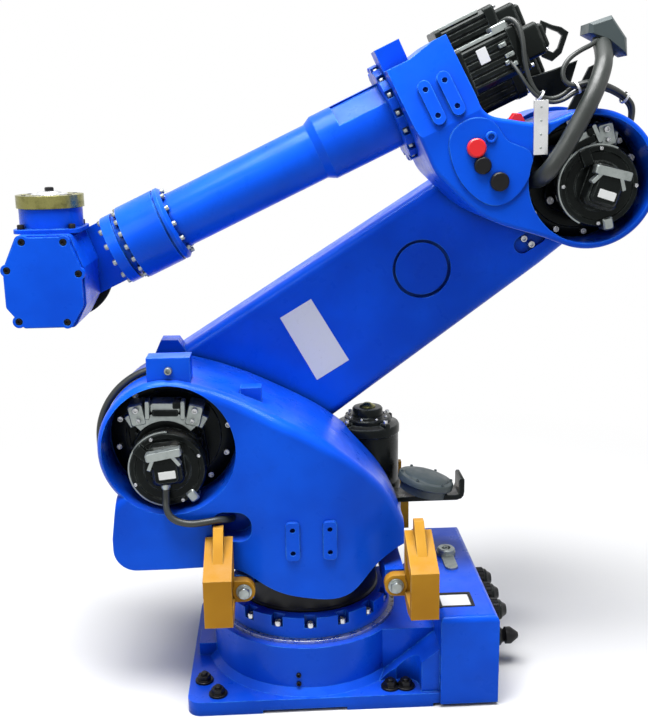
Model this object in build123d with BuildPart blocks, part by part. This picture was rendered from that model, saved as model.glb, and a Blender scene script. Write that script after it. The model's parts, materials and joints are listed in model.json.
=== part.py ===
from build123d import *
from math import cos, sin, tan, radians
import os

# Six-axis industrial robot arm in its folded resting pose.
# Millimetres, +X to the robot's front, +Y to its left, +Z up,
# origin on the swing axis at the underside of the base.

# Arm geometry
shoulder_x = 325            # shoulder axis ahead of the swing axis
shoulder_z = 655            # shoulder axis above the floor
lower_arm_length = 1155     # shoulder axis to elbow axis
lean_back = 58              # degrees that the lower arm leans back
fold_angle = 7.1            # degrees between the forearm and the lower arm
elbow_offset = 320          # forearm axis above the elbow axis
forearm_length = 1233       # elbow axis to bend axis along the forearm
flange_reach = 209          # bend axis to tool flange face

# Fits
running_gap = 0.3           # between faces that turn on each other
seat_gap = 0.3              # between curved faces that are bolted together
overrun = 20                # by which a cut passes the face it starts from

# Base
foot_front_x = 306
foot_half_width = 272
foot_thickness = 36
foot_corner = 34
pad_relief = 9              # raised underside between the foot pads
pad_inner_x = 122           # front pads run from here to the front edge
pad_rear_start_x = -84
pad_rear_end_x = -296
pad_width = 120
drum_radius = 249
drum_top_z = 158
drum_flare = 16
box_front_x = -313
box_rear_x = -455
box_half_width = 279
box_top_z = 240
box_round = 16
neck_block_half_width = 170
gusset_top_z = 150
bolt_row_x = 232            # outer anchor bolts, square about the swing axis
bolt_row_y = 236
inner_front_x = 270         # inner anchor bolts beside each outer one
inner_front_y = 172
inner_rear_x = -194
anchor_hole_radius = 11
front_pad_x = 291
front_pad_width = 90
front_pad_z = 70
ring_radius = 229
ring_height = 8
plate_pocket_x = -362
plate_pocket_y = 186
plate_length = 78
plate_width = 66
plate_pocket_depth = 5
plate_thickness = 3
arm_bracket_x = -385
arm_bracket_y = -40
arm_bracket_length = 120
arm_bracket_width = 34
arm_bracket_thickness = 6
arm_bracket_boss_radius = 26
arm_bracket_boss_height = 10
panel_half_width = 150
panel_height = 150
panel_thickness = 8
panel_z = 122
socket_radius = 26
socket_length = 34
socket_pitch = 92
socket_rows = 2

# Swivel body
swivel_near_y = 200
swivel_far_y = -90
housing_radius = 170        # round housing about the shoulder axis
recess_wall = 12            # of the housing round the motor recess
recess_depth = 140
crest_angle = 105           # where the crest leaves the housing, in degrees
crest_shares = [(0.716, 0.887), (0.531, 0.76), (0.321, 0.582), (0.163, 0.374), (0.055, 0.166)]
swivel_back_x = -238
swivel_back_high_z = 445
swivel_back_low_z = 384
arch_z = 358
skirt_curve = [(230, 358), (165, 348), (104, 314), (0, 284), (-104, 290), (-161, 343), (-203, 370)]
chin_low_z = 356
chin_front_x = 470
chin_high_z = 440
chin_round = 55
waist_x = 456
waist_z = 540
edge_round = 26
barrel_radius = 236         # half width of the body at the swing axis
flank_rear_y = 150          # half width at the rear face
flank_curve = [(-130, 0.3), (-62, 0.9), (0, 1), (62, 0.92), (130, 0.46), (182, 0.12), (240, 0)]
neck_radius = 180
rotor_radius = 216          # castellated flange on the ring
rotor_height = 54
rotor_notches = 16
notch_width = 30
notch_depth = 19
notch_floor = 27
cable_slot_x = 184
cable_slot_z = 462
cable_slot_width = 96
cable_slot_height = 74
cable_slot_corner = 32
cable_slot_depth = 60
body_pad_width = 33
body_pad_height = 97
body_pad_proud = 7
body_pad_root = 30          # of each pad inside the body
body_pad_x = -6
body_pad_pitch = 89
body_pad_z = 434
body_pad_hole_radius = 6
pad_hole_share = 0.3
pad_corner_share = 0.3
deck_radius = 232
deck_bottom_z = 300
deck_top_z = 428
swing_motor_x = -175
swing_motor_y = -132
swing_seat_radius = 90
swing_seat_height = 80
lug_x = 128
lug_length = 50
lug_height = 26
lug_depth = 40
lug_y = 130
lug_rise = 137              # above the shoulder axis
bracket_boss_width = 46
bracket_boss_height = 62
bracket_boss_z = 306
bracket_boss_face_y = 205

# Shoulder reducer and motor
reducer_radius = 128
shoulder_motor_dx = 12      # motor axis off the shoulder axis
shoulder_motor_dz = -22
motor_flange_radius = 108
motor_flange_thickness = 24
motor_body_radius = 88
motor_body_length = 86
motor_cap_radius = 62
motor_cap_length = 66
motor_cap_flat = 52
motor_connector_width = 66
motor_connector_height = 44
motor_connector_depth = 52

# Stop bracket over the shoulder housing
stop_x = 318
stop_width = 102
stop_near_y = 176
stop_depth = 58
stop_rise = 51              # above the housing
stop_pocket = 30
stop_hole_radius = 8

# Hose round the housing and the shoulder motor cable
hose_radius = 9
hose_y = 84
hose_start_angle = -8
hose_sweep_angle = 92
cable_radius = 8.5
cable_top = [(0, -10, 0), (0, -10, -35), (1, 8, -67), (-15, 16, -91), (-53, 17, -103)]     # from the motor
cable_end = [(58, 16, 20), (28, 9, 22), (6, -14, 12), (0, -48, 2)]                           # from the slot
bend_share = 0.45           # part of a run that each bend of a cord takes

# Swing motor
swing_flange_radius = 88
swing_flange_thickness = 26
swing_body_radius = 86
swing_motor_drop = 37       # motor body's top below the shoulder axis
swing_cap_radius = 38
swing_cap_height = 30
swing_tip_radius = 15
swing_tip_height = 20
cover_y = -35
cover_radius = 74
cover_height = 56
cover_bevel = 24
hook_thickness = 14
hook_width = 70
hook_rear_x = -388
hook_z = 430
hook_lip = 30

# Fork brackets
fork_front_x = 215
fork_rear_x = -265
fork_width = 66
fork_inner_y = 208
fork_outer_y = 336
fork_bottom_z = 268
fork_outer_top_z = 384
fork_inner_top_z = 440
fork_wall = 19
fork_tip = 12
fork_rib_width = 24
fork_rib_height = 30
fork_arm_thickness = 26
fork_arm_height = 54
fork_arm_hole_radius = 9

# Lower arm
arm_near_y = -100
arm_thickness = 150
arm_top = 148               # upper edge above the line of the axes
arm_bottom_shoulder = 228   # lower edge below that line
arm_bottom_elbow = 182
arm_shoulder_radius = 148
arm_elbow_radius = 166
arm_heel = 330              # heel of the lower edge, from the shoulder axis
arm_throat = 150            # lower edge's end, from the elbow axis
arm_edge_round = 26
arm_tab_near = 38           # stop tab, from the shoulder axis
arm_tab_far = 112
arm_tab_height = 48
arm_tab_depth = 60
disc_distance = 412         # round recess, from the elbow axis
disc_drop = 21
disc_radius = 76
disc_depth = 16
disc_clearance = 8
disc_thickness = 10
arm_pocket_distance = 137
arm_pocket_drop = 112
arm_pocket_width = 90
arm_pocket_height = 44
arm_pocket_depth = 12
hub_cover_radius = 122
hub_cover_thickness = 22
hub_cover_bevel = 8

# Elbow casting
elbow_near_y = 205
elbow_far_y = -90
elbow_radius = 156
elbow_recess_radius = 143
elbow_recess_depth = 130
gear_top = 414              # gear case outline, above the elbow axis
gear_crown = 428
gear_rear = 160
gear_crown_start = 190
gear_crown_end = 256
gear_front = 312
gear_bottom = 186
gear_slope = 15             # degrees that the gear case's near face leans
gear_slope_start = 250
web_lower_curve = [(303, 143), (250, 28), (158, -62)]
web_lower_angle = -43.5     # where that curve meets the housing, in degrees
web_upper_start = 262
web_upper_curve = [(120, 206), (72, 174)]
web_upper_angle = 92
casting_round = 9
panel_outline = [(262, 205), (232, 238), (186, 240), (150, 212), (136, 160), (104, 122), (166, 44), (224, 46),
                 (256, 86)]
panel_proud = 6
elbow_pad_width = 30
elbow_pad_height = 106
elbow_pad_proud = 9
elbow_pad_first = 255
elbow_pad_pitch = 47
elbow_pad_mid = 60          # along the slope from its start
elbow_pad_hole_radius = 6
ear_rear = 250
ear_front = 312
ear_height = 52
ear_near_y = 100
ear_depth = 76
elbow_motor_dx = -28
elbow_motor_dz = -4
plug_radius = 21
small_plug_radius = 19
plug_height = 12
red_plug_at = (208, 179)
upper_plug_at = (211, 138)
lower_plug_at = (191, 89)

# Wrist drive motors on the rear of the gear case
drive_width = 112
drive_length = 150
drive_corner = 12
drive_cap_width = 78
drive_cap_length = 62
drive_clearance = 5
roll_motor_y = 93
roll_motor_height = 330
bend_motor_y = -29
bend_motor_height = 391
turn_motor_y = -29
turn_motor_height = 272

# Harness pieces at the elbow
strip_length = 118
strip_width = 32
strip_thickness = 5
strip_mid = (60, 156)
strip_turn = 66
harness_radius = 20
harness_route = [(108, 46, 75.3), (108, 46, 160), (92, 58, 222), (44, 88, 233), (-10, 128, 231.5),
                 (-68, 172, 229), (-122, 216, 203), (-158, 246, 168), (-158, 246, 120.3)]
rear_plate_thickness = 8
rear_plate_y = 60
rear_plate_width = 64
rear_plate_foot_share = 0.5
rear_plate_neck_share = 0.7
connector_cover_length = 70
connector_cover_height = 92
connector_cover_depth = 120
connector_cover_at = (-196, 262)
connector_cover_bevel = 26

# Forearm
flange_ring_radius = 120
flange_ring_length = 18
flange_ring_notches = 16
flange_notch_width = 20
flange_notch_depth = 11
thick_tube_radius = 80
thin_tube_radius = 69
step_start = 506
step_end = 526
tube_end = 904
tube_flat_end = 452
tube_flat_width = 76
tube_flat_depth = 14
tube_flat_angle = 52        # from level to the near side
end_radius = 92
end_start = 904
end_front = 1020
end_groove = 5
end_groove_at = 920
end_chamfer = 8
yoke_radius = 77
collar_radius = 86
collar_start = 1038
yoke_neck_end = 1064
yoke_far_y = -134
yoke_near_y = -84
yoke_arm_half_height = 80
bend_cover_radius = 116
bend_cover_thickness = 16
bend_cover_bevel = 6

# Wrist
housing_near_y = 106
cover_plate_thickness = 15
wrist_front = 98            # housing outline about the bend axis
wrist_back = 90
wrist_top = 122
wrist_bottom = 97
wrist_hip = 44
wrist_neck = 62
wrist_foot = 60
wrist_round = 12
cover_inset = 4
cover_bolts = [(46, 108), (-49, 106), (85, 43), (-79, 32), (67, -78), (-45, -82)]
cover_ear_radius = 15
cover_bore_radius = 8.5
cover_bore_depth = 10
square_half_width = 78
square_height = 10
square_corner = 22
turn_case_radius = 75
turn_case_height = 47
flange_radius = 80
flange_thickness = 26
flange_pilot_radius = 45
flange_pilot_depth = 6
flange_bolt_circle = 62.5
flange_bolt_count = 6
flange_bolt_radius = 5
flange_cap_radius = 26
flange_cap_height = 8

os.makedirs("parts", exist_ok=True)


def export(builder, name):
    """Label a finished piece and write it as its own file."""
    builder.part.label = name
    export_step(builder.part, f"parts/{name}.step")


def side_plane(y):
    """Upright plane at the given Y: local x to the front, local y up, normal to the far side."""
    return Plane(origin=(0, y, 0), x_dir=(1, 0, 0), z_dir=(0, -1, 0))


# Axes of the folded arm
lean = radians(lean_back)
forearm_pitch = radians(90 - lean_back - fold_angle)
elbow_x = shoulder_x - lower_arm_length * sin(lean)
elbow_z = shoulder_z + lower_arm_length * cos(lean)
forearm_dir = Vector(cos(forearm_pitch), 0, -sin(forearm_pitch))
forearm_up = Vector(sin(forearm_pitch), 0, cos(forearm_pitch))
elbow_center = Vector(elbow_x, 0, elbow_z)
forearm_foot = elbow_center + forearm_up * elbow_offset
wrist_center = forearm_foot + forearm_dir * forearm_length
forearm_axis = Axis(forearm_foot, forearm_dir)


def arm_plane(y):
    """Side plane of the lower arm: origin on the elbow axis, local x towards the shoulder."""
    return Plane(origin=(elbow_x, y, elbow_z), x_dir=(sin(lean), 0, -cos(lean)), z_dir=(0, -1, 0))


def forearm_plane(y):
    """Side plane of the forearm: origin on the elbow axis, local x along the forearm, local y up."""
    return Plane(origin=(elbow_x, y, elbow_z), x_dir=forearm_dir, z_dir=(0, -1, 0))


def forearm_section(station):
    """Plane square to the forearm at a distance from the elbow axis, centred on the forearm axis."""
    return Plane(origin=forearm_foot + forearm_dir * station, x_dir=(0, 1, 0), z_dir=forearm_dir)


def wrist_plane(y):
    """Side plane of the wrist with its origin on the bend axis."""
    return Plane(origin=(wrist_center.X, y, wrist_center.Z), x_dir=(1, 0, 0), z_dir=(0, -1, 0))


def cord(points, radius, name):
    """Tube along straight runs joined by arcs as large as the runs allow."""
    points = [Vector(*point) for point in points]
    bends = []
    for before, corner, after in zip(points, points[1:], points[2:]):
        turn = (corner - before).get_angle(after - corner)
        run = min((corner - before).length, (after - corner).length)
        bends.append(bend_share * run / tan(radians(turn / 2)))
    print(name, "bend radii", [round(bend) for bend in bends])
    with BuildPart() as tube:
        with BuildLine() as path:
            FilletPolyline(*points, radius=bends)
        with BuildSketch(Plane(origin=path.line @ 0, z_dir=path.line % 0)):
            Circle(radius)
        sweep(path=path.line)
    return tube


# Base
with BuildPart() as base_casting:
    foot_middle_x = (foot_front_x + box_rear_x) / 2
    with BuildSketch():
        with Locations((foot_middle_x, 0)):
            RectangleRounded(foot_front_x - box_rear_x, 2 * foot_half_width, foot_corner)
    extrude(amount=foot_thickness)
    with BuildSketch(Plane.XY.offset(foot_thickness)):
        Circle(drum_radius + drum_flare)
    extrude(amount=drum_flare, taper=45)
    with BuildSketch():
        Circle(drum_radius)
    extrude(amount=drum_top_z)
    box_middle_x = (box_front_x + box_rear_x) / 2
    with BuildSketch():
        with Locations((box_middle_x, 0)):
            Rectangle(box_front_x - box_rear_x, 2 * box_half_width)
    extrude(amount=box_top_z)
    box_edges = base_casting.edges().filter_by(GeomType.LINE).group_by(Axis.Z)[-1]
    fillet(box_edges, radius=box_round)
    # Block that joins the drum to the box, with gussets that fall away on both sides
    with BuildSketch():
        with Locations((box_front_x / 2, 0)):
            Rectangle(-box_front_x, 2 * neck_block_half_width)
    extrude(amount=drum_top_z)
    for side in (1, -1):
        with BuildSketch(side_plane(side * neck_block_half_width)):
            with BuildLine():
                Polyline(
                    (box_front_x, foot_thickness),
                    (box_front_x, gusset_top_z),
                    (-neck_block_half_width, foot_thickness),
                    close=True,
                )
            make_face()
        extrude(amount=-side * (box_half_width - neck_block_half_width - box_round))
    # Flat pad on the front of the drum
    with Locations(((front_pad_x + drum_radius / 2) / 2, 0, front_pad_z / 2)):
        Box(front_pad_x - drum_radius / 2, front_pad_width, front_pad_z)
    # Underside stands on pads beside the anchor bolts
    with BuildSketch():
        with Locations((foot_middle_x, 0)):
            Rectangle(foot_front_x - box_rear_x + overrun, 2 * box_half_width + overrun)
        for side in (1, -1):
            pad_y = side * (foot_half_width - pad_width / 2)
            with Locations(((foot_front_x + pad_inner_x) / 2, pad_y)):
                Rectangle(foot_front_x - pad_inner_x, pad_width, mode=Mode.SUBTRACT)
            with Locations(((pad_rear_start_x + pad_rear_end_x) / 2, pad_y)):
                Rectangle(pad_rear_start_x - pad_rear_end_x, pad_width, mode=Mode.SUBTRACT)
    extrude(amount=pad_relief, mode=Mode.SUBTRACT)
    # Anchor holes
    anchor_points = [(x, side * bolt_row_y) for x in (bolt_row_x, -bolt_row_x) for side in (1, -1)]
    anchor_points += [(inner_front_x, side * inner_front_y) for side in (1, -1)]
    anchor_points += [(inner_rear_x, side * bolt_row_y) for side in (1, -1)]
    with BuildSketch():
        with Locations(*anchor_points):
            Circle(anchor_hole_radius)
    extrude(amount=foot_thickness + overrun, mode=Mode.SUBTRACT)
    # Pocket for the bare plate on the box
    with Locations((plate_pocket_x, plate_pocket_y, box_top_z - plate_pocket_depth / 2)):
        Box(plate_length, plate_width, plate_pocket_depth, mode=Mode.SUBTRACT)
export(base_casting, "base_casting")

with BuildPart() as swing_ring:
    with BuildSketch(Plane.XY.offset(drum_top_z)):
        Circle(ring_radius)
    extrude(amount=ring_height)
export(swing_ring, "swing_ring")
rotor_bottom_z = drum_top_z + ring_height + running_gap

with BuildPart() as base_plate:
    with Locations((plate_pocket_x, plate_pocket_y, box_top_z - plate_pocket_depth + plate_thickness / 2)):
        Box(plate_length - 2 * seat_gap, plate_width - 2 * seat_gap, plate_thickness)
export(base_plate, "base_name_plate")

with BuildPart() as base_arm_bracket:
    with BuildSketch(Plane.XY.offset(box_top_z)):
        with Locations((arm_bracket_x, arm_bracket_y)):
            SlotOverall(arm_bracket_length, arm_bracket_width, rotation=90)
    extrude(amount=arm_bracket_thickness)
    boss_y = arm_bracket_y - (arm_bracket_length - arm_bracket_width) / 2
    with BuildSketch(Plane.XY.offset(box_top_z)):
        with Locations((arm_bracket_x, boss_y)):
            Circle(arm_bracket_boss_radius)
    extrude(amount=arm_bracket_boss_height)
export(base_arm_bracket, "base_arm_bracket")

with BuildPart() as socket_panel:
    rear_plane = Plane(origin=(box_rear_x, 0, panel_z), x_dir=(0, -1, 0), z_dir=(-1, 0, 0))
    with BuildSketch(rear_plane):
        Rectangle(2 * panel_half_width, panel_height)
    extrude(amount=panel_thickness)
    with BuildSketch(rear_plane.offset(panel_thickness)):
        with GridLocations(socket_pitch, panel_height / 2, 3, socket_rows):
            Circle(socket_radius)
    extrude(amount=socket_length)
export(socket_panel, "base_socket_panel")

# Swivel body
rotor_top_z = rotor_bottom_z + rotor_height


def swivel_outline():
    """Edges of the swivel body's side outline, from the crown round to the chin."""
    crown_z = shoulder_z + housing_radius
    crest_dir = (cos(radians(crest_angle)), sin(radians(crest_angle)))
    crest_start = (shoulder_x + housing_radius * crest_dir[0], shoulder_z + housing_radius * crest_dir[1])
    crest = [
        (
            swivel_back_x + along_share * (shoulder_x - swivel_back_x),
            swivel_back_high_z + rise_share * (crown_z - swivel_back_high_z),
        )
        for along_share, rise_share in crest_shares
    ]
    with BuildLine() as outline:
        Spline(
            crest_start,
            *crest,
            (swivel_back_x, swivel_back_high_z),
            tangents=[(-crest_dir[1], crest_dir[0]), (-1, -2)],
        )
        Line((swivel_back_x, swivel_back_high_z), (swivel_back_x, swivel_back_low_z))
        Spline((swivel_back_x, swivel_back_low_z), *reversed(skirt_curve), (shoulder_x, chin_low_z))
        Line((shoulder_x, chin_low_z), (chin_front_x - chin_round, chin_low_z))
        RadiusArc(
            (chin_front_x - chin_round, chin_low_z),
            (chin_front_x, chin_low_z + chin_round),
            -chin_round,
        )
        Polyline(
            (chin_front_x, chin_low_z + chin_round),
            (chin_front_x, chin_high_z),
            (waist_x, waist_z),
            (shoulder_x, shoulder_z),
            crest_start,
        )
    return outline.edges()


with BuildPart() as swivel_casting:
    # Side outline, crossed with a plan outline that swells round the swing axis
    with BuildSketch(side_plane(barrel_radius + overrun)):
        make_face(swivel_outline())
        with Locations((shoulder_x, shoulder_z)):
            Circle(housing_radius)
    extrude(amount=barrel_radius + overrun - swivel_far_y)
    swell = barrel_radius - swivel_near_y
    flank = [(x, swivel_near_y + swell_share * swell) for x, swell_share in flank_curve]
    with BuildSketch(Plane.XY):
        with BuildLine():
            Spline((swivel_back_x - overrun, flank_rear_y), *flank)
            Polyline(
                flank[-1],
                (shoulder_x + 2 * housing_radius, swivel_near_y),
                (shoulder_x + 2 * housing_radius, swivel_far_y),
                (swivel_back_x - overrun, swivel_far_y),
                (swivel_back_x - overrun, flank_rear_y),
            )
        make_face()
    extrude(amount=shoulder_z + 2 * housing_radius, mode=Mode.INTERSECT)
    upper_edges = [e for e in swivel_casting.edges() if (e @ 0.5).Z > waist_z]
    crest_edges = [e for e in upper_edges if min((e @ 0).Y, (e @ 0.5).Y, (e @ 1).Y) > flank_rear_y]
    fillet(crest_edges, radius=edge_round)
    # Neck and deck under the body, on the swing axis
    with BuildSketch(Plane.XY.offset(rotor_top_z)):
        Circle(neck_radius)
    extrude(amount=arch_z - rotor_top_z)
    with BuildSketch(Plane.XY.offset(deck_bottom_z)):
        with Locations((0, swivel_far_y - deck_radius / 2)):
            Rectangle(2 * deck_radius, deck_radius)
        Circle(deck_radius, mode=Mode.INTERSECT)
    extrude(amount=deck_top_z - deck_bottom_z)
    # Seat and bay of the swing motor
    swing_body_top_z = shoulder_z - swing_motor_drop
    with BuildSketch(Plane.XY.offset(deck_top_z)):
        with Locations((swing_motor_x, swing_motor_y)):
            Circle(swing_seat_radius)
    extrude(amount=-swing_seat_height)
    with BuildSketch(Plane.XY.offset(deck_top_z)):
        with Locations((swing_motor_x, swing_motor_y)):
            Circle(swing_seat_radius)
    extrude(amount=swing_body_top_z - deck_top_z, mode=Mode.SUBTRACT)
    # Castellated flange that turns on the ring
    with BuildSketch(Plane.XY.offset(rotor_bottom_z)):
        Circle(rotor_radius)
    extrude(amount=rotor_height)
    with BuildSketch(Plane.XY.offset(rotor_bottom_z + notch_floor)):
        with PolarLocations(rotor_radius, rotor_notches):
            Rectangle(2 * notch_depth, notch_width)
    extrude(amount=rotor_height - notch_floor, mode=Mode.SUBTRACT)
    # Bosses that the fork brackets bolt to
    for boss_x in (fork_front_x, fork_rear_x):
        toward = 1 if boss_x > 0 else -1
        boss_middle_x = boss_x - toward * (fork_width + bracket_boss_width) / 2
        with Locations((boss_middle_x, 0, bracket_boss_z)):
            Box(bracket_boss_width, 2 * bracket_boss_face_y, bracket_boss_height)
    # Motor recess on the shoulder axis and the cable slot beside it
    with BuildSketch(side_plane(swivel_near_y + overrun)):
        with Locations((shoulder_x, shoulder_z)):
            Circle(housing_radius - recess_wall)
    extrude(amount=recess_depth + overrun, mode=Mode.SUBTRACT)
    with BuildSketch(side_plane(barrel_radius + overrun)):
        with Locations((cable_slot_x, cable_slot_z)):
            RectangleRounded(cable_slot_width, cable_slot_height, cable_slot_corner)
    extrude(amount=cable_slot_depth + barrel_radius - swivel_near_y + overrun, mode=Mode.SUBTRACT)
    # Lug on the crown
    with Locations((lug_x, lug_y, shoulder_z + lug_rise - lug_height)):
        Box(lug_length, lug_depth, 2 * lug_height)
    # Two drilled pads on the barrel
    with BuildSketch(side_plane(barrel_radius + body_pad_proud)):
        with Locations((body_pad_x, body_pad_z)):
            with GridLocations(body_pad_pitch, 0, 2, 1):
                RectangleRounded(body_pad_width, body_pad_height, pad_corner_share * body_pad_width)
    extrude(amount=body_pad_proud + body_pad_root)
    with BuildSketch(side_plane(barrel_radius + body_pad_proud)):
        with Locations((body_pad_x, body_pad_z)):
            with GridLocations(body_pad_pitch, 2 * pad_hole_share * body_pad_height, 2, 2):
                Circle(body_pad_hole_radius)
    extrude(amount=2 * body_pad_proud, mode=Mode.SUBTRACT)
export(swivel_casting, "swivel_casting")

with BuildPart() as shoulder_reducer:
    with BuildSketch(side_plane(swivel_far_y)):
        with Locations((shoulder_x, shoulder_z)):
            Circle(reducer_radius)
    extrude(amount=swivel_far_y - arm_near_y - running_gap)
export(shoulder_reducer, "shoulder_reducer")


def side_motor(plane):
    """Servo motor on a recess floor: flange, round body and end cap, growing out of the plane."""
    with BuildPart() as motor:
        with BuildSketch(plane):
            Circle(motor_flange_radius)
        extrude(amount=motor_flange_thickness)
        with BuildSketch(plane.offset(motor_flange_thickness)):
            Circle(motor_body_radius)
        extrude(amount=motor_body_length)
        cap_plane = plane.offset(motor_flange_thickness + motor_body_length)
        with BuildSketch(cap_plane):
            Circle(motor_cap_radius)
            Rectangle(2 * motor_cap_radius, 2 * motor_cap_flat, mode=Mode.INTERSECT)
        extrude(amount=motor_cap_length)
        with BuildSketch(plane.offset(motor_flange_thickness)):
            with Locations((0, motor_body_radius)):
                Rectangle(motor_connector_width, motor_connector_height)
        extrude(amount=motor_connector_depth)
    return motor


shoulder_motor = side_motor(
    Plane(
        origin=(
            shoulder_x + shoulder_motor_dx,
            swivel_near_y - recess_depth,
            shoulder_z + shoulder_motor_dz,
        ),
        x_dir=(-1, 0, 0),
        z_dir=(0, 1, 0),
    )
)
export(shoulder_motor, "shoulder_motor")

with BuildPart() as stop_bracket:
    stop_top_z = shoulder_z + housing_radius + stop_rise
    with BuildSketch(side_plane(stop_near_y)):
        with Locations((stop_x, (stop_top_z + shoulder_z) / 2)):
            Rectangle(stop_width, stop_top_z - shoulder_z)
        with Locations((shoulder_x, shoulder_z)):
            Circle(housing_radius + seat_gap, mode=Mode.SUBTRACT)
    extrude(amount=stop_depth)
    with BuildSketch(side_plane(stop_near_y).move(Location((0, 0, 2 * seat_gap)))):
        make_face(swivel_outline())
    extrude(amount=stop_depth, mode=Mode.SUBTRACT)
    with BuildSketch(side_plane(stop_near_y)):
        with Locations((stop_x, stop_top_z - stop_pocket)):
            Circle(stop_hole_radius)
    extrude(amount=stop_depth, mode=Mode.SUBTRACT)
export(stop_bracket, "stop_bracket")

with BuildPart() as seal_hose:
    hose_path_radius = housing_radius + hose_radius + seat_gap
    with BuildLine(side_plane(hose_y)) as hose_path:
        CenterArc((shoulder_x, shoulder_z), hose_path_radius, hose_start_angle, hose_sweep_angle)
    with BuildSketch(Plane(origin=hose_path.line @ 0, z_dir=hose_path.line % 0)):
        Circle(hose_radius)
    sweep(path=hose_path.line)
export(seal_hose, "housing_hose")

cable_start = (
    shoulder_x + shoulder_motor_dx,
    swivel_near_y,
    shoulder_z + shoulder_motor_dz - motor_cap_flat - seat_gap,
)
cable_route = [(cable_start[0] + x, cable_start[1] + y, cable_start[2] + z) for x, y, z in cable_top]
cable_route += [(cable_slot_x + x, swivel_near_y + y, cable_slot_z + z) for x, y, z in cable_end]
export(cord(cable_route, cable_radius, "shoulder cable"), "shoulder_motor_cable")

with BuildPart() as swing_motor:
    with BuildSketch(Plane.XY.offset(deck_top_z)):
        with Locations((swing_motor_x, swing_motor_y)):
            Circle(swing_flange_radius)
    extrude(amount=swing_flange_thickness)
    with BuildSketch(Plane.XY.offset(deck_top_z + swing_flange_thickness)):
        with Locations((swing_motor_x, swing_motor_y)):
            Circle(swing_body_radius)
    extrude(amount=swing_body_top_z - deck_top_z - swing_flange_thickness)
    with BuildSketch(Plane.XY.offset(swing_body_top_z)):
        with Locations((swing_motor_x, swing_motor_y)):
            Circle(swing_cap_radius)
    extrude(amount=swing_cap_height)
    with BuildSketch(Plane.XY.offset(swing_body_top_z + swing_cap_height)):
        with Locations((swing_motor_x, swing_motor_y)):
            Circle(swing_tip_radius)
    extrude(amount=swing_tip_height)
export(swing_motor, "swing_motor")

# Shelf on the swivel's rear face, hooked at its end, with the domed gear cover on it
with BuildPart() as swing_hook:
    with Locations(((swivel_back_x + hook_rear_x) / 2, cover_y, hook_z + hook_thickness / 2)):
        Box(swivel_back_x - hook_rear_x, hook_width, hook_thickness)
    with Locations((hook_rear_x + hook_thickness / 2, cover_y, hook_z - hook_lip / 2)):
        Box(hook_thickness, hook_width, hook_lip)
export(swing_hook, "swing_cable_hook")

with BuildPart() as gear_cover:
    with BuildSketch(Plane.XY.offset(hook_z + hook_thickness)):
        with Locations((swivel_back_x - cover_radius - seat_gap, cover_y)):
            Circle(cover_radius)
    extrude(amount=cover_height)
    chamfer(gear_cover.faces().sort_by(Axis.Z)[-1].edges(), length=cover_bevel)
export(gear_cover, "swing_gear_cover")

# Fork brackets, two on each side
for end_name, bracket_x in (("front", fork_front_x), ("rear", fork_rear_x)):
    for side_name, side in (("left", 1), ("right", -1)):
        toward = 1 if bracket_x > 0 else -1
        outer_plane = Plane(
            origin=(bracket_x - fork_width / 2, 0, 0), x_dir=(0, side, 0), z_dir=(side, 0, 0)
        )
        if side < 0:
            outer_plane = outer_plane.offset(-fork_width)
        with BuildPart() as fork_bracket:
            with BuildSketch(outer_plane):
                with BuildLine():
                    Polyline(
                        (fork_inner_y, fork_bottom_z),
                        ((fork_inner_y + fork_outer_y) / 2, fork_bottom_z - fork_tip),
                        (fork_outer_y, fork_bottom_z),
                        (fork_outer_y, fork_outer_top_z),
                        (fork_inner_y, fork_inner_top_z),
                        close=True,
                    )
                make_face()
                with BuildLine():
                    Polyline(
                        (fork_inner_y + fork_wall, fork_bottom_z + fork_wall),
                        (fork_outer_y - fork_wall, fork_bottom_z + fork_wall),
                        (fork_outer_y - fork_wall, fork_outer_top_z - fork_wall),
                        (fork_inner_y + fork_wall, fork_inner_top_z - 2 * fork_wall),
                        close=True,
                    )
                make_face(mode=Mode.SUBTRACT)
            extrude(amount=fork_width)
            with BuildSketch(outer_plane.offset((fork_width - fork_rib_width) / 2)):
                with BuildLine():
                    Polyline(
                        (fork_inner_y, fork_inner_top_z - fork_wall / 2),
                        (fork_outer_y - fork_wall, fork_outer_top_z - fork_wall / 2),
                        (fork_inner_y + fork_wall, fork_inner_top_z + fork_rib_height),
                        (fork_inner_y, fork_inner_top_z + fork_rib_height),
                        close=True,
                    )
                make_face()
            extrude(amount=fork_rib_width)
            arm_middle_x = bracket_x - toward * (fork_width + bracket_boss_width) / 2
            bolt_plane = Plane(
                origin=(arm_middle_x, side * bracket_boss_face_y, bracket_boss_z),
                x_dir=(toward, 0, 0),
                z_dir=(0, side, 0),
            )
            with BuildSketch(bolt_plane):
                Circle(fork_arm_height / 2)
                with Locations((bracket_boss_width / 4, 0)):
                    Rectangle(bracket_boss_width / 2, fork_arm_height)
                Circle(fork_arm_hole_radius, mode=Mode.SUBTRACT)
            extrude(amount=fork_arm_thickness)
        export(fork_bracket, f"fork_bracket_{end_name}_{side_name}")

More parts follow.
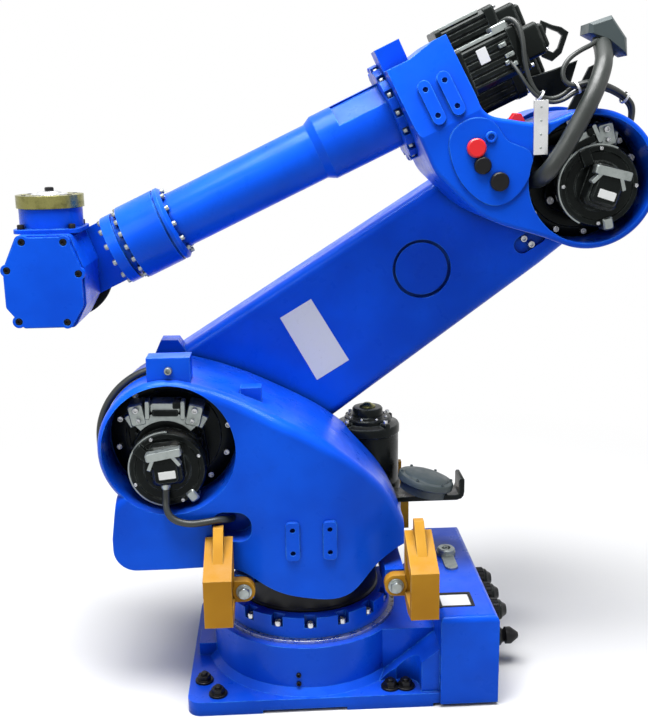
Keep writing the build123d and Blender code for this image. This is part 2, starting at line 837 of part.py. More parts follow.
# Lower arm
with BuildPart() as lower_arm_casting:
    heel_x = lower_arm_length - arm_heel
    with BuildSketch(arm_plane(arm_near_y)):
        with BuildLine():
            Polyline(
                (0, arm_top),
                (lower_arm_length, arm_top),
                (lower_arm_length, -arm_shoulder_radius),
                (heel_x, -arm_bottom_shoulder),
                (arm_throat, -arm_bottom_elbow),
                (0, -arm_elbow_radius),
                close=True,
            )
        make_face()
        Circle(arm_elbow_radius)
        with Locations((lower_arm_length, 0)):
            Circle(arm_shoulder_radius)
    extrude(amount=arm_thickness)
    arm_edges = lower_arm_casting.edges().filter_by(GeomType.LINE).filter_by(Axis.Y, reverse=True)
    fillet(arm_edges, radius=arm_edge_round)
    # Stop tab above the shoulder end
    with BuildSketch(arm_plane(arm_near_y)):
        with BuildLine():
            Polyline(
                (lower_arm_length - arm_tab_far, arm_top - arm_edge_round),
                (lower_arm_length - arm_tab_far, arm_top + arm_tab_height / 2),
                (lower_arm_length - (arm_tab_near + arm_tab_far) / 2, arm_top + arm_tab_height),
                (lower_arm_length - arm_tab_near, arm_top + arm_tab_height / 2),
                (lower_arm_length - arm_tab_near, arm_top - arm_edge_round),
                close=True,
            )
        make_face()
    extrude(amount=arm_tab_depth)
    with BuildSketch(arm_plane(arm_near_y)):
        with Locations((disc_distance, -disc_drop)):
            Circle(disc_radius)
    extrude(amount=disc_depth, mode=Mode.SUBTRACT)
    with BuildSketch(arm_plane(arm_near_y)):
        with Locations((arm_pocket_distance, -arm_pocket_drop)):
            SlotOverall(arm_pocket_width, arm_pocket_height)
    extrude(amount=arm_pocket_depth, mode=Mode.SUBTRACT)
export(lower_arm_casting, "lower_arm_casting")

with BuildPart() as lower_arm_disc:
    with BuildSketch(arm_plane(arm_near_y - disc_depth)):
        with Locations((disc_distance, -disc_drop)):
            Circle(disc_radius - disc_clearance)
    extrude(amount=-disc_thickness)
export(lower_arm_disc, "lower_arm_disc")

for cover_name, cover_at in (("elbow_hub_cover", 0), ("shoulder_hub_cover", lower_arm_length)):
    with BuildPart() as hub_cover:
        with BuildSketch(arm_plane(arm_near_y - arm_thickness)):
            with Locations((cover_at, 0)):
                Circle(hub_cover_radius)
        extrude(amount=hub_cover_thickness)
        chamfer(hub_cover.faces().sort_by(Axis.Y)[0].edges(), length=hub_cover_bevel)
    export(hub_cover, cover_name)

# Elbow
gear_face = Plane(
    origin=elbow_center + forearm_up * gear_slope_start + Vector(0, elbow_near_y, 0),
    x_dir=forearm_dir * -1,
    z_dir=Vector(0, cos(radians(gear_slope)), 0) + forearm_up * sin(radians(gear_slope)),
)


def on_housing(angle):
    """Point on the rim of the elbow housing, in the forearm's side plane."""
    return (elbow_radius * cos(radians(angle)), elbow_radius * sin(radians(angle)))


with BuildPart() as elbow_casting:
    # Gear case, web and housing in one outline
    with BuildSketch(forearm_plane(elbow_near_y)):
        with BuildLine():
            Spline(
                on_housing(web_lower_angle),
                *reversed(web_lower_curve),
                (gear_front, gear_bottom),
                tangents=[on_housing(web_lower_angle + 90), (0, 1)],
            )
            Polyline(
                (gear_front, gear_bottom),
                (gear_front, gear_top),
                (gear_crown_end, gear_top),
                (gear_crown_start, gear_crown),
                (gear_rear, gear_crown),
                (gear_rear, web_upper_start),
            )
            Spline(
                (gear_rear, web_upper_start),
                *web_upper_curve,
                on_housing(web_upper_angle),
                tangents=[(0, -1), on_housing(web_upper_angle + 90)],
            )
            Polyline(on_housing(web_upper_angle), (0, 0), on_housing(web_lower_angle))
        make_face()
        Circle(elbow_radius)
    extrude(amount=elbow_near_y - elbow_far_y)
    fillet(elbow_casting.faces().sort_by(Axis.Y)[-1].edges(), radius=casting_round)
    # The gear case's near face leans away
    with BuildSketch(gear_face):
        with Locations((-gear_rear, gear_crown / 2)):
            Rectangle(2 * gear_front, gear_crown)
    extrude(amount=gear_crown, mode=Mode.SUBTRACT)
    # Raised panel that carries the plugs
    with BuildSketch(forearm_plane(elbow_near_y)):
        with BuildLine():
            Spline(*panel_outline, periodic=True)
        make_face()
    extrude(amount=-panel_proud)
    # Drilled pads on the gear case
    with BuildSketch(gear_face):
        with Locations((elbow_pad_pitch / 2 - elbow_pad_first, elbow_pad_mid)):
            with GridLocations(elbow_pad_pitch, 0, 2, 1):
                SlotOverall(elbow_pad_height, elbow_pad_width, rotation=90)
    extrude(amount=elbow_pad_proud)
    with BuildSketch(gear_face.offset(elbow_pad_proud)):
        with Locations((elbow_pad_pitch / 2 - elbow_pad_first, elbow_pad_mid)):
            with GridLocations(elbow_pad_pitch, 2 * pad_hole_share * elbow_pad_height, 2, 2):
                Circle(elbow_pad_hole_radius)
    extrude(amount=-elbow_pad_proud, mode=Mode.SUBTRACT)
    # Ear on top of the gear case
    with BuildSketch(forearm_plane(ear_near_y)):
        with Locations(((ear_rear + ear_front) / 2, gear_top)):
            Rectangle(ear_front - ear_rear, 2 * ear_height)
    extrude(amount=ear_depth)
    # Bay behind the gear case for the lowest drive motor
    bay_low = turn_motor_height - drive_width / 2 - drive_clearance
    with BuildSketch(forearm_plane(turn_motor_y + drive_width / 2 + drive_clearance)):
        with Locations((gear_rear / 2, (bay_low + gear_top) / 2)):
            Rectangle(gear_rear, gear_top - bay_low)
    extrude(amount=drive_width + 2 * drive_clearance + overrun, mode=Mode.SUBTRACT)
    # Motor recess
    with BuildSketch(forearm_plane(elbow_near_y + overrun)):
        Circle(elbow_recess_radius)
    extrude(amount=elbow_recess_depth + overrun, mode=Mode.SUBTRACT)
export(elbow_casting, "elbow_casting")

with BuildPart() as elbow_reducer:
    with BuildSketch(forearm_plane(elbow_far_y)):
        Circle(reducer_radius)
    extrude(amount=elbow_far_y - arm_near_y - running_gap)
export(elbow_reducer, "elbow_reducer")

elbow_motor = side_motor(
    Plane(
        origin=(elbow_x + elbow_motor_dx, elbow_near_y - elbow_recess_depth, elbow_z + elbow_motor_dz),
        x_dir=(-1, 0, 0),
        z_dir=(0, 1, 0),
    )
)
export(elbow_motor, "elbow_motor")

for motor_name, motor_y, motor_height in (
    ("roll_motor", roll_motor_y, roll_motor_height),
    ("bend_motor", bend_motor_y, bend_motor_height),
    ("turn_motor", turn_motor_y, turn_motor_height),
):
    motor_plane = Plane(
        origin=elbow_center + forearm_dir * gear_rear + forearm_up * motor_height + Vector(0, motor_y, 0),
        x_dir=(0, 1, 0),
        z_dir=forearm_dir * -1,
    )
    with BuildPart() as drive_motor:
        with BuildSketch(motor_plane):
            RectangleRounded(drive_width, drive_width, drive_corner)
        extrude(amount=drive_length)
        with BuildSketch(motor_plane.offset(drive_length)):
            RectangleRounded(drive_cap_width, drive_cap_width, drive_corner)
        extrude(amount=drive_cap_length)
    export(drive_motor, motor_name)

panel_face_y = elbow_near_y + panel_proud
for plug_name, plug_at, radius in (
    ("red_plug", red_plug_at, plug_radius),
    ("upper_black_plug", upper_plug_at, small_plug_radius),
    ("lower_black_plug", lower_plug_at, plug_radius),
):
    with BuildPart() as plug:
        with BuildSketch(forearm_plane(panel_face_y)):
            with Locations(plug_at):
                Circle(radius)
        extrude(amount=-plug_height)
        chamfer(plug.faces().sort_by(Axis.Y)[-1].edges(), length=plug_height / 4)
    export(plug, plug_name)

# Harness pieces at the elbow
with BuildPart() as clamp_strip:
    with BuildSketch(forearm_plane(elbow_near_y)):
        with Locations(strip_mid):
            Rectangle(strip_length, strip_width, rotation=-strip_turn)
    extrude(amount=-strip_thickness)
export(clamp_strip, "harness_strip")

with BuildPart() as rear_plate:
    plate_plane = forearm_plane(rear_plate_y)
    plate_top = connector_cover_at[1] - connector_cover_height / 2
    with BuildSketch(plate_plane):
        with BuildLine():
            Polyline(
                (-elbow_radius * rear_plate_foot_share, elbow_radius * rear_plate_foot_share),
                (connector_cover_at[0], plate_top),
                (connector_cover_at[0] + rear_plate_width, plate_top),
                (0, elbow_radius * rear_plate_neck_share),
                close=True,
            )
        make_face()
        Circle(elbow_radius + seat_gap, mode=Mode.SUBTRACT)
    extrude(amount=rear_plate_thickness)
export(rear_plate, "harness_bracket")

with BuildPart() as connector_cover:
    cover_bottom = connector_cover_at[1] - connector_cover_height / 2
    with BuildSketch(forearm_plane(rear_plate_y + connector_cover_depth / 2)):
        with BuildLine():
            Polyline(
                (connector_cover_at[0], cover_bottom),
                (connector_cover_at[0] + connector_cover_length, cover_bottom),
                (connector_cover_at[0] + connector_cover_length, cover_bottom + connector_cover_height),
                (connector_cover_at[0] + connector_cover_bevel, cover_bottom + connector_cover_height),
                (connector_cover_at[0], cover_bottom + connector_cover_height - connector_cover_bevel),
                close=True,
            )
        make_face()
    extrude(amount=connector_cover_depth)
export(connector_cover, "connector_cover")

harness_points = [
    elbow_center + forearm_dir * along + forearm_up * above + Vector(0, y, 0)
    for along, above, y in harness_route
]
export(cord(harness_points, harness_radius, "harness hose"), "harness_hose")

# Forearm
with BuildPart() as forearm_flange:
    with BuildSketch(forearm_section(gear_front + running_gap)):
        Circle(flange_ring_radius)
        with PolarLocations(flange_ring_radius, flange_ring_notches):
            Rectangle(2 * flange_notch_depth, flange_notch_width, mode=Mode.SUBTRACT)
    extrude(amount=flange_ring_length)
export(forearm_flange, "forearm_flange")

tube_start = gear_front + running_gap + flange_ring_length
with BuildPart() as forearm_tube:
    with BuildSketch(forearm_plane(0)):
        with BuildLine():
            Polyline(
                (tube_start, elbow_offset),
                (tube_start, elbow_offset + thick_tube_radius),
                (step_start, elbow_offset + thick_tube_radius),
                (step_end, elbow_offset + thin_tube_radius),
                (tube_end, elbow_offset + thin_tube_radius),
                (tube_end, elbow_offset),
                close=True,
            )
        make_face()
    revolve(axis=forearm_axis)
    # Flat on the upper near side, next to the flange
    flat_normal = forearm_up * sin(radians(tube_flat_angle)) + Vector(0, cos(radians(tube_flat_angle)), 0)
    flat_center = forearm_foot + forearm_dir * ((tube_start + tube_flat_end) / 2)
    flat_center += flat_normal * (thick_tube_radius - tube_flat_depth)
    with BuildSketch(Plane(origin=flat_center, x_dir=forearm_dir, z_dir=flat_normal)):
        Rectangle(tube_flat_end - tube_start, tube_flat_width)
    extrude(amount=2 * tube_flat_depth, mode=Mode.SUBTRACT)
export(forearm_tube, "forearm_tube")

with BuildPart() as forearm_end:
    with BuildSketch(forearm_plane(0)):
        with BuildLine():
            Polyline(
                (end_start, elbow_offset),
                (end_start, elbow_offset + end_radius - end_chamfer),
                (end_start + end_chamfer, elbow_offset + end_radius),
                (end_groove_at, elbow_offset + end_radius),
                (end_groove_at, elbow_offset + end_radius - end_groove),
                (end_groove_at + end_groove, elbow_offset + end_radius - end_groove),
                (end_groove_at + end_groove, elbow_offset + end_radius),
                (end_front, elbow_offset + end_radius),
                (end_front, elbow_offset),
                close=True,
            )
        make_face()
    revolve(axis=forearm_axis)
export(forearm_end, "forearm_end_cylinder")

with BuildPart() as wrist_yoke:
    with BuildSketch(forearm_section(end_front)):
        Circle(yoke_radius)
    extrude(amount=yoke_neck_end - end_front)
    with BuildSketch(forearm_section(collar_start)):
        Circle(collar_radius)
    extrude(amount=yoke_neck_end - collar_start)
    with BuildSketch(forearm_plane(yoke_near_y)):
        with Locations(((collar_start + forearm_length) / 2, elbow_offset)):
            Rectangle(forearm_length - collar_start, 2 * yoke_arm_half_height)
        with Locations((forearm_length, elbow_offset)):
            Circle(yoke_arm_half_height)
    extrude(amount=yoke_near_y - yoke_far_y)
export(wrist_yoke, "wrist_yoke")

with BuildPart() as bend_cover:
    with BuildSketch(forearm_plane(yoke_far_y)):
        with Locations((forearm_length, elbow_offset)):
            Circle(bend_cover_radius)
    extrude(amount=bend_cover_thickness)
    chamfer(bend_cover.faces().sort_by(Axis.Y)[0].edges(), length=bend_cover_bevel)
export(bend_cover, "bend_cover")


def wrist_outline(inset):
    """Edges of the wrist housing's side outline."""
    with BuildLine() as outline:
        Polyline(
            (-wrist_neck + inset, wrist_top - inset),
            (wrist_neck - inset, wrist_top - inset),
            (wrist_front - inset, wrist_hip),
            (wrist_front - inset, -wrist_hip),
            (wrist_foot - inset, -wrist_bottom + inset),
            (-wrist_foot + inset, -wrist_bottom + inset),
            (-wrist_back + inset, -wrist_hip),
            (-wrist_back + inset, wrist_hip),
            close=True,
        )
    return outline.edges()


# Wrist
with BuildPart() as wrist_housing:
    with BuildSketch(wrist_plane(housing_near_y)) as housing_sketch:
        make_face(wrist_outline(0))
        fillet(housing_sketch.vertices(), radius=wrist_round)
    extrude(amount=housing_near_y - yoke_near_y - running_gap)
export(wrist_housing, "wrist_housing")

with BuildPart() as wrist_cover:
    with BuildSketch(wrist_plane(housing_near_y)) as cover_sketch:
        make_face(wrist_outline(cover_inset))
        fillet(cover_sketch.vertices(), radius=wrist_round)
        with Locations(*cover_bolts):
            Circle(cover_ear_radius)
    extrude(amount=-cover_plate_thickness)
    with BuildSketch(wrist_plane(housing_near_y + cover_plate_thickness)):
        with Locations(*cover_bolts):
            Circle(cover_bore_radius)
    extrude(amount=cover_bore_depth, mode=Mode.SUBTRACT)
export(wrist_cover, "wrist_cover")

square_bottom_z = wrist_center.Z + wrist_top
with BuildPart() as turn_case:
    with BuildSketch(Plane.XY.offset(square_bottom_z)):
        with Locations((wrist_center.X, 0)):
            RectangleRounded(2 * square_half_width, 2 * square_half_width, square_corner)
    extrude(amount=square_height)
    with BuildSketch(Plane.XY.offset(square_bottom_z + square_height)):
        with Locations((wrist_center.X, 0)):
            Circle(turn_case_radius)
    extrude(amount=turn_case_height)
export(turn_case, "turn_reducer_case")

flange_top_z = wrist_center.Z + flange_reach
flange_bottom_z = square_bottom_z + square_height + turn_case_height + running_gap
with BuildPart() as tool_flange:
    with BuildSketch(Plane.XY.offset(flange_bottom_z)):
        with Locations((wrist_center.X, 0)):
            Circle(flange_radius)
    extrude(amount=flange_top_z - flange_bottom_z)
    with BuildSketch(Plane.XY.offset(flange_top_z)):
        with Locations((wrist_center.X, 0)):
            Circle(flange_pilot_radius)
    extrude(amount=-flange_pilot_depth, mode=Mode.SUBTRACT)
    with BuildSketch(Plane.XY.offset(flange_top_z)):
        with Locations((wrist_center.X, 0)):
            with PolarLocations(flange_bolt_circle, flange_bolt_count):
                Circle(flange_bolt_radius)
    extrude(amount=-flange_thickness / 2, mode=Mode.SUBTRACT)
export(tool_flange, "tool_flange")

with BuildPart() as flange_cap:
    with BuildSketch(Plane.XY.offset(flange_top_z - flange_pilot_depth)):
        with Locations((wrist_center.X, 0)):
            Circle(flange_cap_radius)
    extrude(amount=flange_cap_height)
export(flange_cap, "flange_cap")
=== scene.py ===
import bpy
import bmesh
import json
from math import cos, pi, radians, sin
from mathutils import Matrix, Vector


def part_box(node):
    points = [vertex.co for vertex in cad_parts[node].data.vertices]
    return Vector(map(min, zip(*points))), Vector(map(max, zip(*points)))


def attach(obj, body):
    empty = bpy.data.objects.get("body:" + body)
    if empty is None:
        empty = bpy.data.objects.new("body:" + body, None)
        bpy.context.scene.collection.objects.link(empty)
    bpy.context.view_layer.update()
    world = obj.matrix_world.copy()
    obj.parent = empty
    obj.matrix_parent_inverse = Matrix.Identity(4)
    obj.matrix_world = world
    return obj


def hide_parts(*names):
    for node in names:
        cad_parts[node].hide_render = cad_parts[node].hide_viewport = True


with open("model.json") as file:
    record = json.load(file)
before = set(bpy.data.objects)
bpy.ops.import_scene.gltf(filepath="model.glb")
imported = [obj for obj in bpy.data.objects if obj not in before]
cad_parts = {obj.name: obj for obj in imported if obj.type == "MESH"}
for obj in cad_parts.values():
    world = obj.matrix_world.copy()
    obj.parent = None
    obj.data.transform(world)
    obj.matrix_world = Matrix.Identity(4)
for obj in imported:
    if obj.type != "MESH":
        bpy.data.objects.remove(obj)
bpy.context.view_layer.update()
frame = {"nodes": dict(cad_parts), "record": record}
nodes = frame["nodes"]

MM = 0.001


# Materials

class Shader:
    """A node material with short calls to add and link nodes."""

    def __init__(self, name):
        self.material = bpy.data.materials.new(name)
        self.material.use_nodes = True
        self.tree = self.material.node_tree
        self.surface = self.tree.nodes["Principled BSDF"]
        self.output = self.tree.nodes["Material Output"]
        self.where = self.add("ShaderNodeTexCoord").outputs["Object"]

    def add(self, kind, **settings):
        node = self.tree.nodes.new(kind)
        for key, value in settings.items():
            setattr(node, key, value)
        return node

    def link(self, source, target):
        self.tree.links.new(source, target)

    def put(self, **values):
        for key, value in values.items():
            self.surface.inputs[key.replace("_", " ")].default_value = value

    def noise(self, scale, detail=4.0, rough=0.55):
        node = self.add("ShaderNodeTexNoise")
        for socket, value in (("Scale", scale), ("Detail", detail), ("Roughness", rough)):
            node.inputs[socket].default_value = value
        self.link(self.where, node.inputs["Vector"])
        return node.outputs["Fac"]

    def ramp(self, source, low, high, bottom=0.0, top=1.0):
        """Smooth step from bottom to top while the source goes from low to high."""
        node = self.add("ShaderNodeMapRange", interpolation_type="SMOOTHSTEP")
        for socket, value in (("From Min", low), ("From Max", high), ("To Min", bottom), ("To Max", top)):
            node.inputs[socket].default_value = value
        self.link(source, node.inputs["Value"])
        return node.outputs["Result"]

    def math(self, kind, a, b):
        node = self.add("ShaderNodeMath", operation=kind)
        for value, socket in ((a, node.inputs[0]), (b, node.inputs[1])):
            if isinstance(value, (int, float)):
                socket.default_value = value
            else:
                self.link(value, socket)
        return node.outputs["Value"]

    def mix(self, factor, a, b):
        node = self.add("ShaderNodeMix", data_type="RGBA")
        self.link(factor, node.inputs["Factor"])
        for value, socket in ((a, node.inputs["A"]), (b, node.inputs["B"])):
            if isinstance(value, tuple):
                socket.default_value = (*value, 1.0)
            else:
                self.link(value, socket)
        return node.outputs["Result"]

    def edges(self, radius):
        """1 near sharp edges, 0 on open faces."""
        bevel = self.add("ShaderNodeBevel", samples=4)
        bevel.inputs["Radius"].default_value = radius
        geometry = self.add("ShaderNodeNewGeometry")
        dot = self.add("ShaderNodeVectorMath", operation="DOT_PRODUCT")
        self.link(bevel.outputs["Normal"], dot.inputs[0])
        self.link(geometry.outputs["Normal"], dot.inputs[1])
        return self.ramp(dot.outputs["Value"], 0.985, 0.86)

    def painted_crevice_shade(self, reach, most):
        """Up to most in inner corners and narrow gaps: painted shade, darker where less light reaches."""
        node = self.add("ShaderNodeAmbientOcclusion", samples=4)
        node.inputs["Distance"].default_value = reach
        return self.ramp(node.outputs["AO"], 0.85, 0.30, 0.0, most)

    def upward(self, low, high):
        """1 on faces that look up, where dust settles."""
        geometry = self.add("ShaderNodeNewGeometry")
        parts = self.add("ShaderNodeSeparateXYZ")
        self.link(geometry.outputs["Normal"], parts.inputs["Vector"])
        return self.ramp(parts.outputs["Z"], low, high)

    def colour(self, source):
        self.link(source, self.surface.inputs["Base Color"])

    def roughness(self, source):
        self.link(source, self.surface.inputs["Roughness"])

    def bump(self, source, strength, distance, rounding):
        """Fine relief over normals that are rounded at sharp edges."""
        node = self.add("ShaderNodeBump")
        node.inputs["Strength"].default_value = strength
        node.inputs["Distance"].default_value = distance
        self.link(source, node.inputs["Height"])
        bevel = self.add("ShaderNodeBevel", samples=4)
        bevel.inputs["Radius"].default_value = rounding
        self.link(bevel.outputs["Normal"], node.inputs["Normal"])
        self.link(node.outputs["Normal"], self.surface.inputs["Normal"])


def paint(name, colour, shade, chip_and_highlight, sheen, rough, wear_and_highlight, dust):
    """Sprayed enamel with orange peel, lighter edges that are partly wear and partly painted highlight, painted shade
    in corners and gaps, and a little dust on top.
    """
    s = Shader(name)
    broad = s.ramp(s.noise(4.0, 3.0), 0.3, 0.7)
    tone = s.mix(broad, colour, shade)
    mottled = s.mix(s.ramp(s.noise(38.0, 6.0), 0.52, 0.80, 0.0, 0.35), tone, shade)
    # Painted shade: inner corners and narrow gaps darkened towards a fifth of the shade colour.
    crevice_shaded = s.mix(s.painted_crevice_shade(0.05, 0.8), mottled, tuple(0.2 * part for part in shade))
    dusty = s.mix(
        s.math("MULTIPLY", s.upward(0.55, 0.98), s.ramp(s.noise(14.0, 8.0, 0.7), 0.35, 0.75, 0.0, dust)),
        crevice_shaded,
        (0.52, 0.50, 0.46),
    )
    # Edges lightened towards a lighter colour in random patches: partly wear, partly painted edge highlight.
    rubbed_and_highlit = s.math("MULTIPLY", s.edges(0.0045), s.ramp(s.noise(40.0, 6.0, 0.65), 0.36, 0.62, 0.0, wear_and_highlight))
    s.colour(s.mix(rubbed_and_highlit, dusty, chip_and_highlight))
    s.roughness(s.ramp(s.noise(22.0, 5.0), 0.3, 0.75, rough - 0.07, rough + 0.10))
    s.bump(s.noise(420.0, 2.0), 0.10, 0.0004, rounding=0.0025)
    s.put(Coat_Weight=0.05, Coat_Roughness=0.1, Specular_IOR_Level=0.22, Specular_Tint=(*sheen, 1.0))
    return s.material


def metal(name, colour, shade, rough, tarnish=0.4):
    """Bare metal with fine turning or casting marks and a little tarnish."""
    s = Shader(name)
    stain = s.ramp(s.noise(30.0, 6.0, 0.6), 0.45, 0.75, 0.0, tarnish)
    s.colour(s.mix(stain, colour, shade))
    s.roughness(s.ramp(s.noise(60.0, 4.0), 0.3, 0.7, rough - 0.1, rough + 0.15))
    s.bump(s.noise(260.0, 3.0, 0.5), 0.16, 0.0004, rounding=0.0012)
    s.put(Metallic=1.0)
    return s.material


def moulded(name, colour, shade, rough, specular=0.4):
    """Moulded plastic or rubber with a fine grain and faint scuffs."""
    s = Shader(name)
    scuff = s.ramp(s.noise(70.0, 8.0, 0.7), 0.56, 0.78, 0.0, 0.6)
    s.colour(s.mix(scuff, colour, shade))
    s.roughness(s.ramp(s.noise(26.0, 4.0), 0.3, 0.7, rough - 0.08, rough + 0.12))
    s.bump(s.noise(700.0, 2.0), 0.12, 0.0003, rounding=0.0012)
    s.put(Specular_IOR_Level=specular)
    return s.material


# Looks by the record's slot, and one more for dark grey covers
MATERIALS = {
    # Blue's lighter edge colour is a light cyan: painted edge highlight more than wear.
    "blue_paint": paint("blue_enamel", (0.003, 0.090, 0.76), (0.002, 0.060, 0.58), (0.05, 0.27, 0.80),
                        sheen=(0.25, 0.62, 1.0), rough=0.33, wear_and_highlight=0.7, dust=0.03),
    "yellow_paint": paint("mustard_enamel", (0.54, 0.27, 0.018), (0.38, 0.17, 0.009), (0.72, 0.46, 0.12),
                          sheen=(1.0, 0.75, 0.35), rough=0.42, wear_and_highlight=0.6, dust=0.10),
    "black_paint": paint("black_enamel", (0.0035, 0.0042, 0.0042), (0.009, 0.011, 0.010), (0.14, 0.16, 0.15),
                         sheen=(0.28, 0.32, 0.31), rough=0.28, wear_and_highlight=0.6, dust=0.08),
    "bare_steel": metal("bare_steel", (0.52, 0.53, 0.54), (0.24, 0.23, 0.22), rough=0.30, tarnish=0.12),
    "grey_metal": metal("grey_casting", (0.30, 0.33, 0.32), (0.10, 0.11, 0.10), rough=0.46),
    "plain_aluminium": metal("aluminium", (0.66, 0.67, 0.68), (0.36, 0.36, 0.35), rough=0.34),
    "gold_flange": metal("gold_chromate", (0.25, 0.24, 0.085), (0.05, 0.05, 0.015), rough=0.28, tarnish=0.8),
    "black_rubber": moulded("black_rubber", (0.016, 0.020, 0.018), (0.050, 0.058, 0.053), rough=0.4, specular=0.5),
    "black_plastic": moulded("black_plastic", (0.004, 0.004, 0.005), (0.014, 0.015, 0.015), rough=0.36, specular=0.2),
    "red_plastic": moulded("red_plastic", (0.72, 0.012, 0.018), (0.45, 0.006, 0.010), rough=0.34, specular=0.5),
    "slate_plastic": moulded("slate_plastic", (0.045, 0.062, 0.065), (0.085, 0.105, 0.108), rough=0.42),
    "white_plastic": moulded("white_plastic", (0.74, 0.75, 0.74), (0.55, 0.55, 0.53), rough=0.42),
}

for row in frame["record"]["subparts"]:
    cad_mesh = nodes[row["node"]].data
    cad_mesh.materials.clear()
    cad_mesh.materials.append(MATERIALS[row["material_slot"]])


# Frames of the links at rest, in millimetres

FOLD = radians(24.9)
NEAR = Vector((0.0, 1.0, 0.0))
RISE = Vector((0.0, 0.0, 1.0))
FORWARD = Vector((cos(FOLD), 0.0, -sin(FOLD)))
ABOVE = Vector((sin(FOLD), 0.0, cos(FOLD)))
SHOULDER = Vector((325.0, 0.0, 655.0))
ELBOW = Vector((-654.496, 0.0, 1267.057))
FOREARM_ABOVE = 320.0
WRIST = ELBOW + FORWARD * 1233.0 + ABOVE * FOREARM_ABOVE

# Planes and spots on the castings, in millimetres
SHOULDER_FLOOR = 60
ELBOW_FLOOR = 75
FOOT_TOP = 36
ANCHOR_Y = 236
FRONT_ANCHOR_X = 232
REAR_ANCHORS_X = (-232, -194)
SIDES = (-1, 1)
SHARP_ANGLE = radians(38)


def fore(along, above, y):
    """Point beside the elbow, along and above the forearm's line."""
    return ELBOW + FORWARD * along + ABOVE * above + NEAR * y


def stand(origin, z, x):
    """Matrix whose local Z is z and whose local X is as near x as it can be."""
    z = Vector(z).normalized()
    y = z.cross(Vector(x)).normalized()
    matrix = Matrix((y.cross(z), y, z)).transposed().to_4x4()
    matrix.translation = Vector(origin)
    return matrix


def upright(x, y, z):
    """Frame on a level face."""
    return stand((x, y, z), RISE, (1, 0, 0))


def beside(along, above, y):
    """Frame on a face of the elbow or forearm that looks to the near side."""
    return stand(fore(along, above, y), NEAR, FORWARD)


def shift(x, y, z=0.0, turn=0.0):
    """Move in a local frame, with a turn about its Z in degrees."""
    return Matrix.Translation((x, y, z)) @ Matrix.Rotation(radians(turn), 4, "Z")


def spoke(k, count, start=0.0):
    """Turn about local Z to one of count even places."""
    return Matrix.Rotation(2 * pi * (k + start) / count, 4, "Z")


def ring(radius, height, sides=40):
    """Circle in a plane across local Z."""
    return [(radius * cos(2 * pi * i / sides), radius * sin(2 * pi * i / sides), height) for i in range(sides)]


def hexagon(radius, height, sides=24):
    """Hexagon walked in as many steps as a ring, so that the two can be joined."""
    corners = [Vector(p) for p in ring(radius, height, 6)]
    steps = sides // 6
    return [corners[k].lerp(corners[(k + 1) % 6], i / steps) for k in range(6) for i in range(steps)]


def rounded(width, height, corner, steps=5):
    """Outline of a rectangle with round corners."""
    points = []
    for k, (sx, sy) in enumerate(((1, 1), (-1, 1), (-1, -1), (1, -1))):
        for i in range(steps + 1):
            angle = pi / 2 * (k + i / steps)
            points.append((
                sx * (width / 2 - corner) + corner * cos(angle),
                sy * (height / 2 - corner) + corner * sin(angle),
            ))
    return points


def finned(width, grooves, groove, depth, corner):
    """Outline of a square motor barrel with cooling grooves down its sides."""
    half = width / 2
    pitch = (width - 2 * corner) / grooves
    side = [(corner - half, -half)]
    for i in range(grooves):
        middle = corner - half + pitch * (i + 0.5)
        side += [(middle - groove / 2, -half), (middle - groove / 2, depth - half),
                 (middle + groove / 2, depth - half), (middle + groove / 2, -half)]
    side.append((half - corner, -half))
    points = []
    for k in range(4):
        c, s = cos(pi / 2 * k), sin(pi / 2 * k)
        points += [(x * c - y * s, x * s + y * c) for x, y in side]
    return points


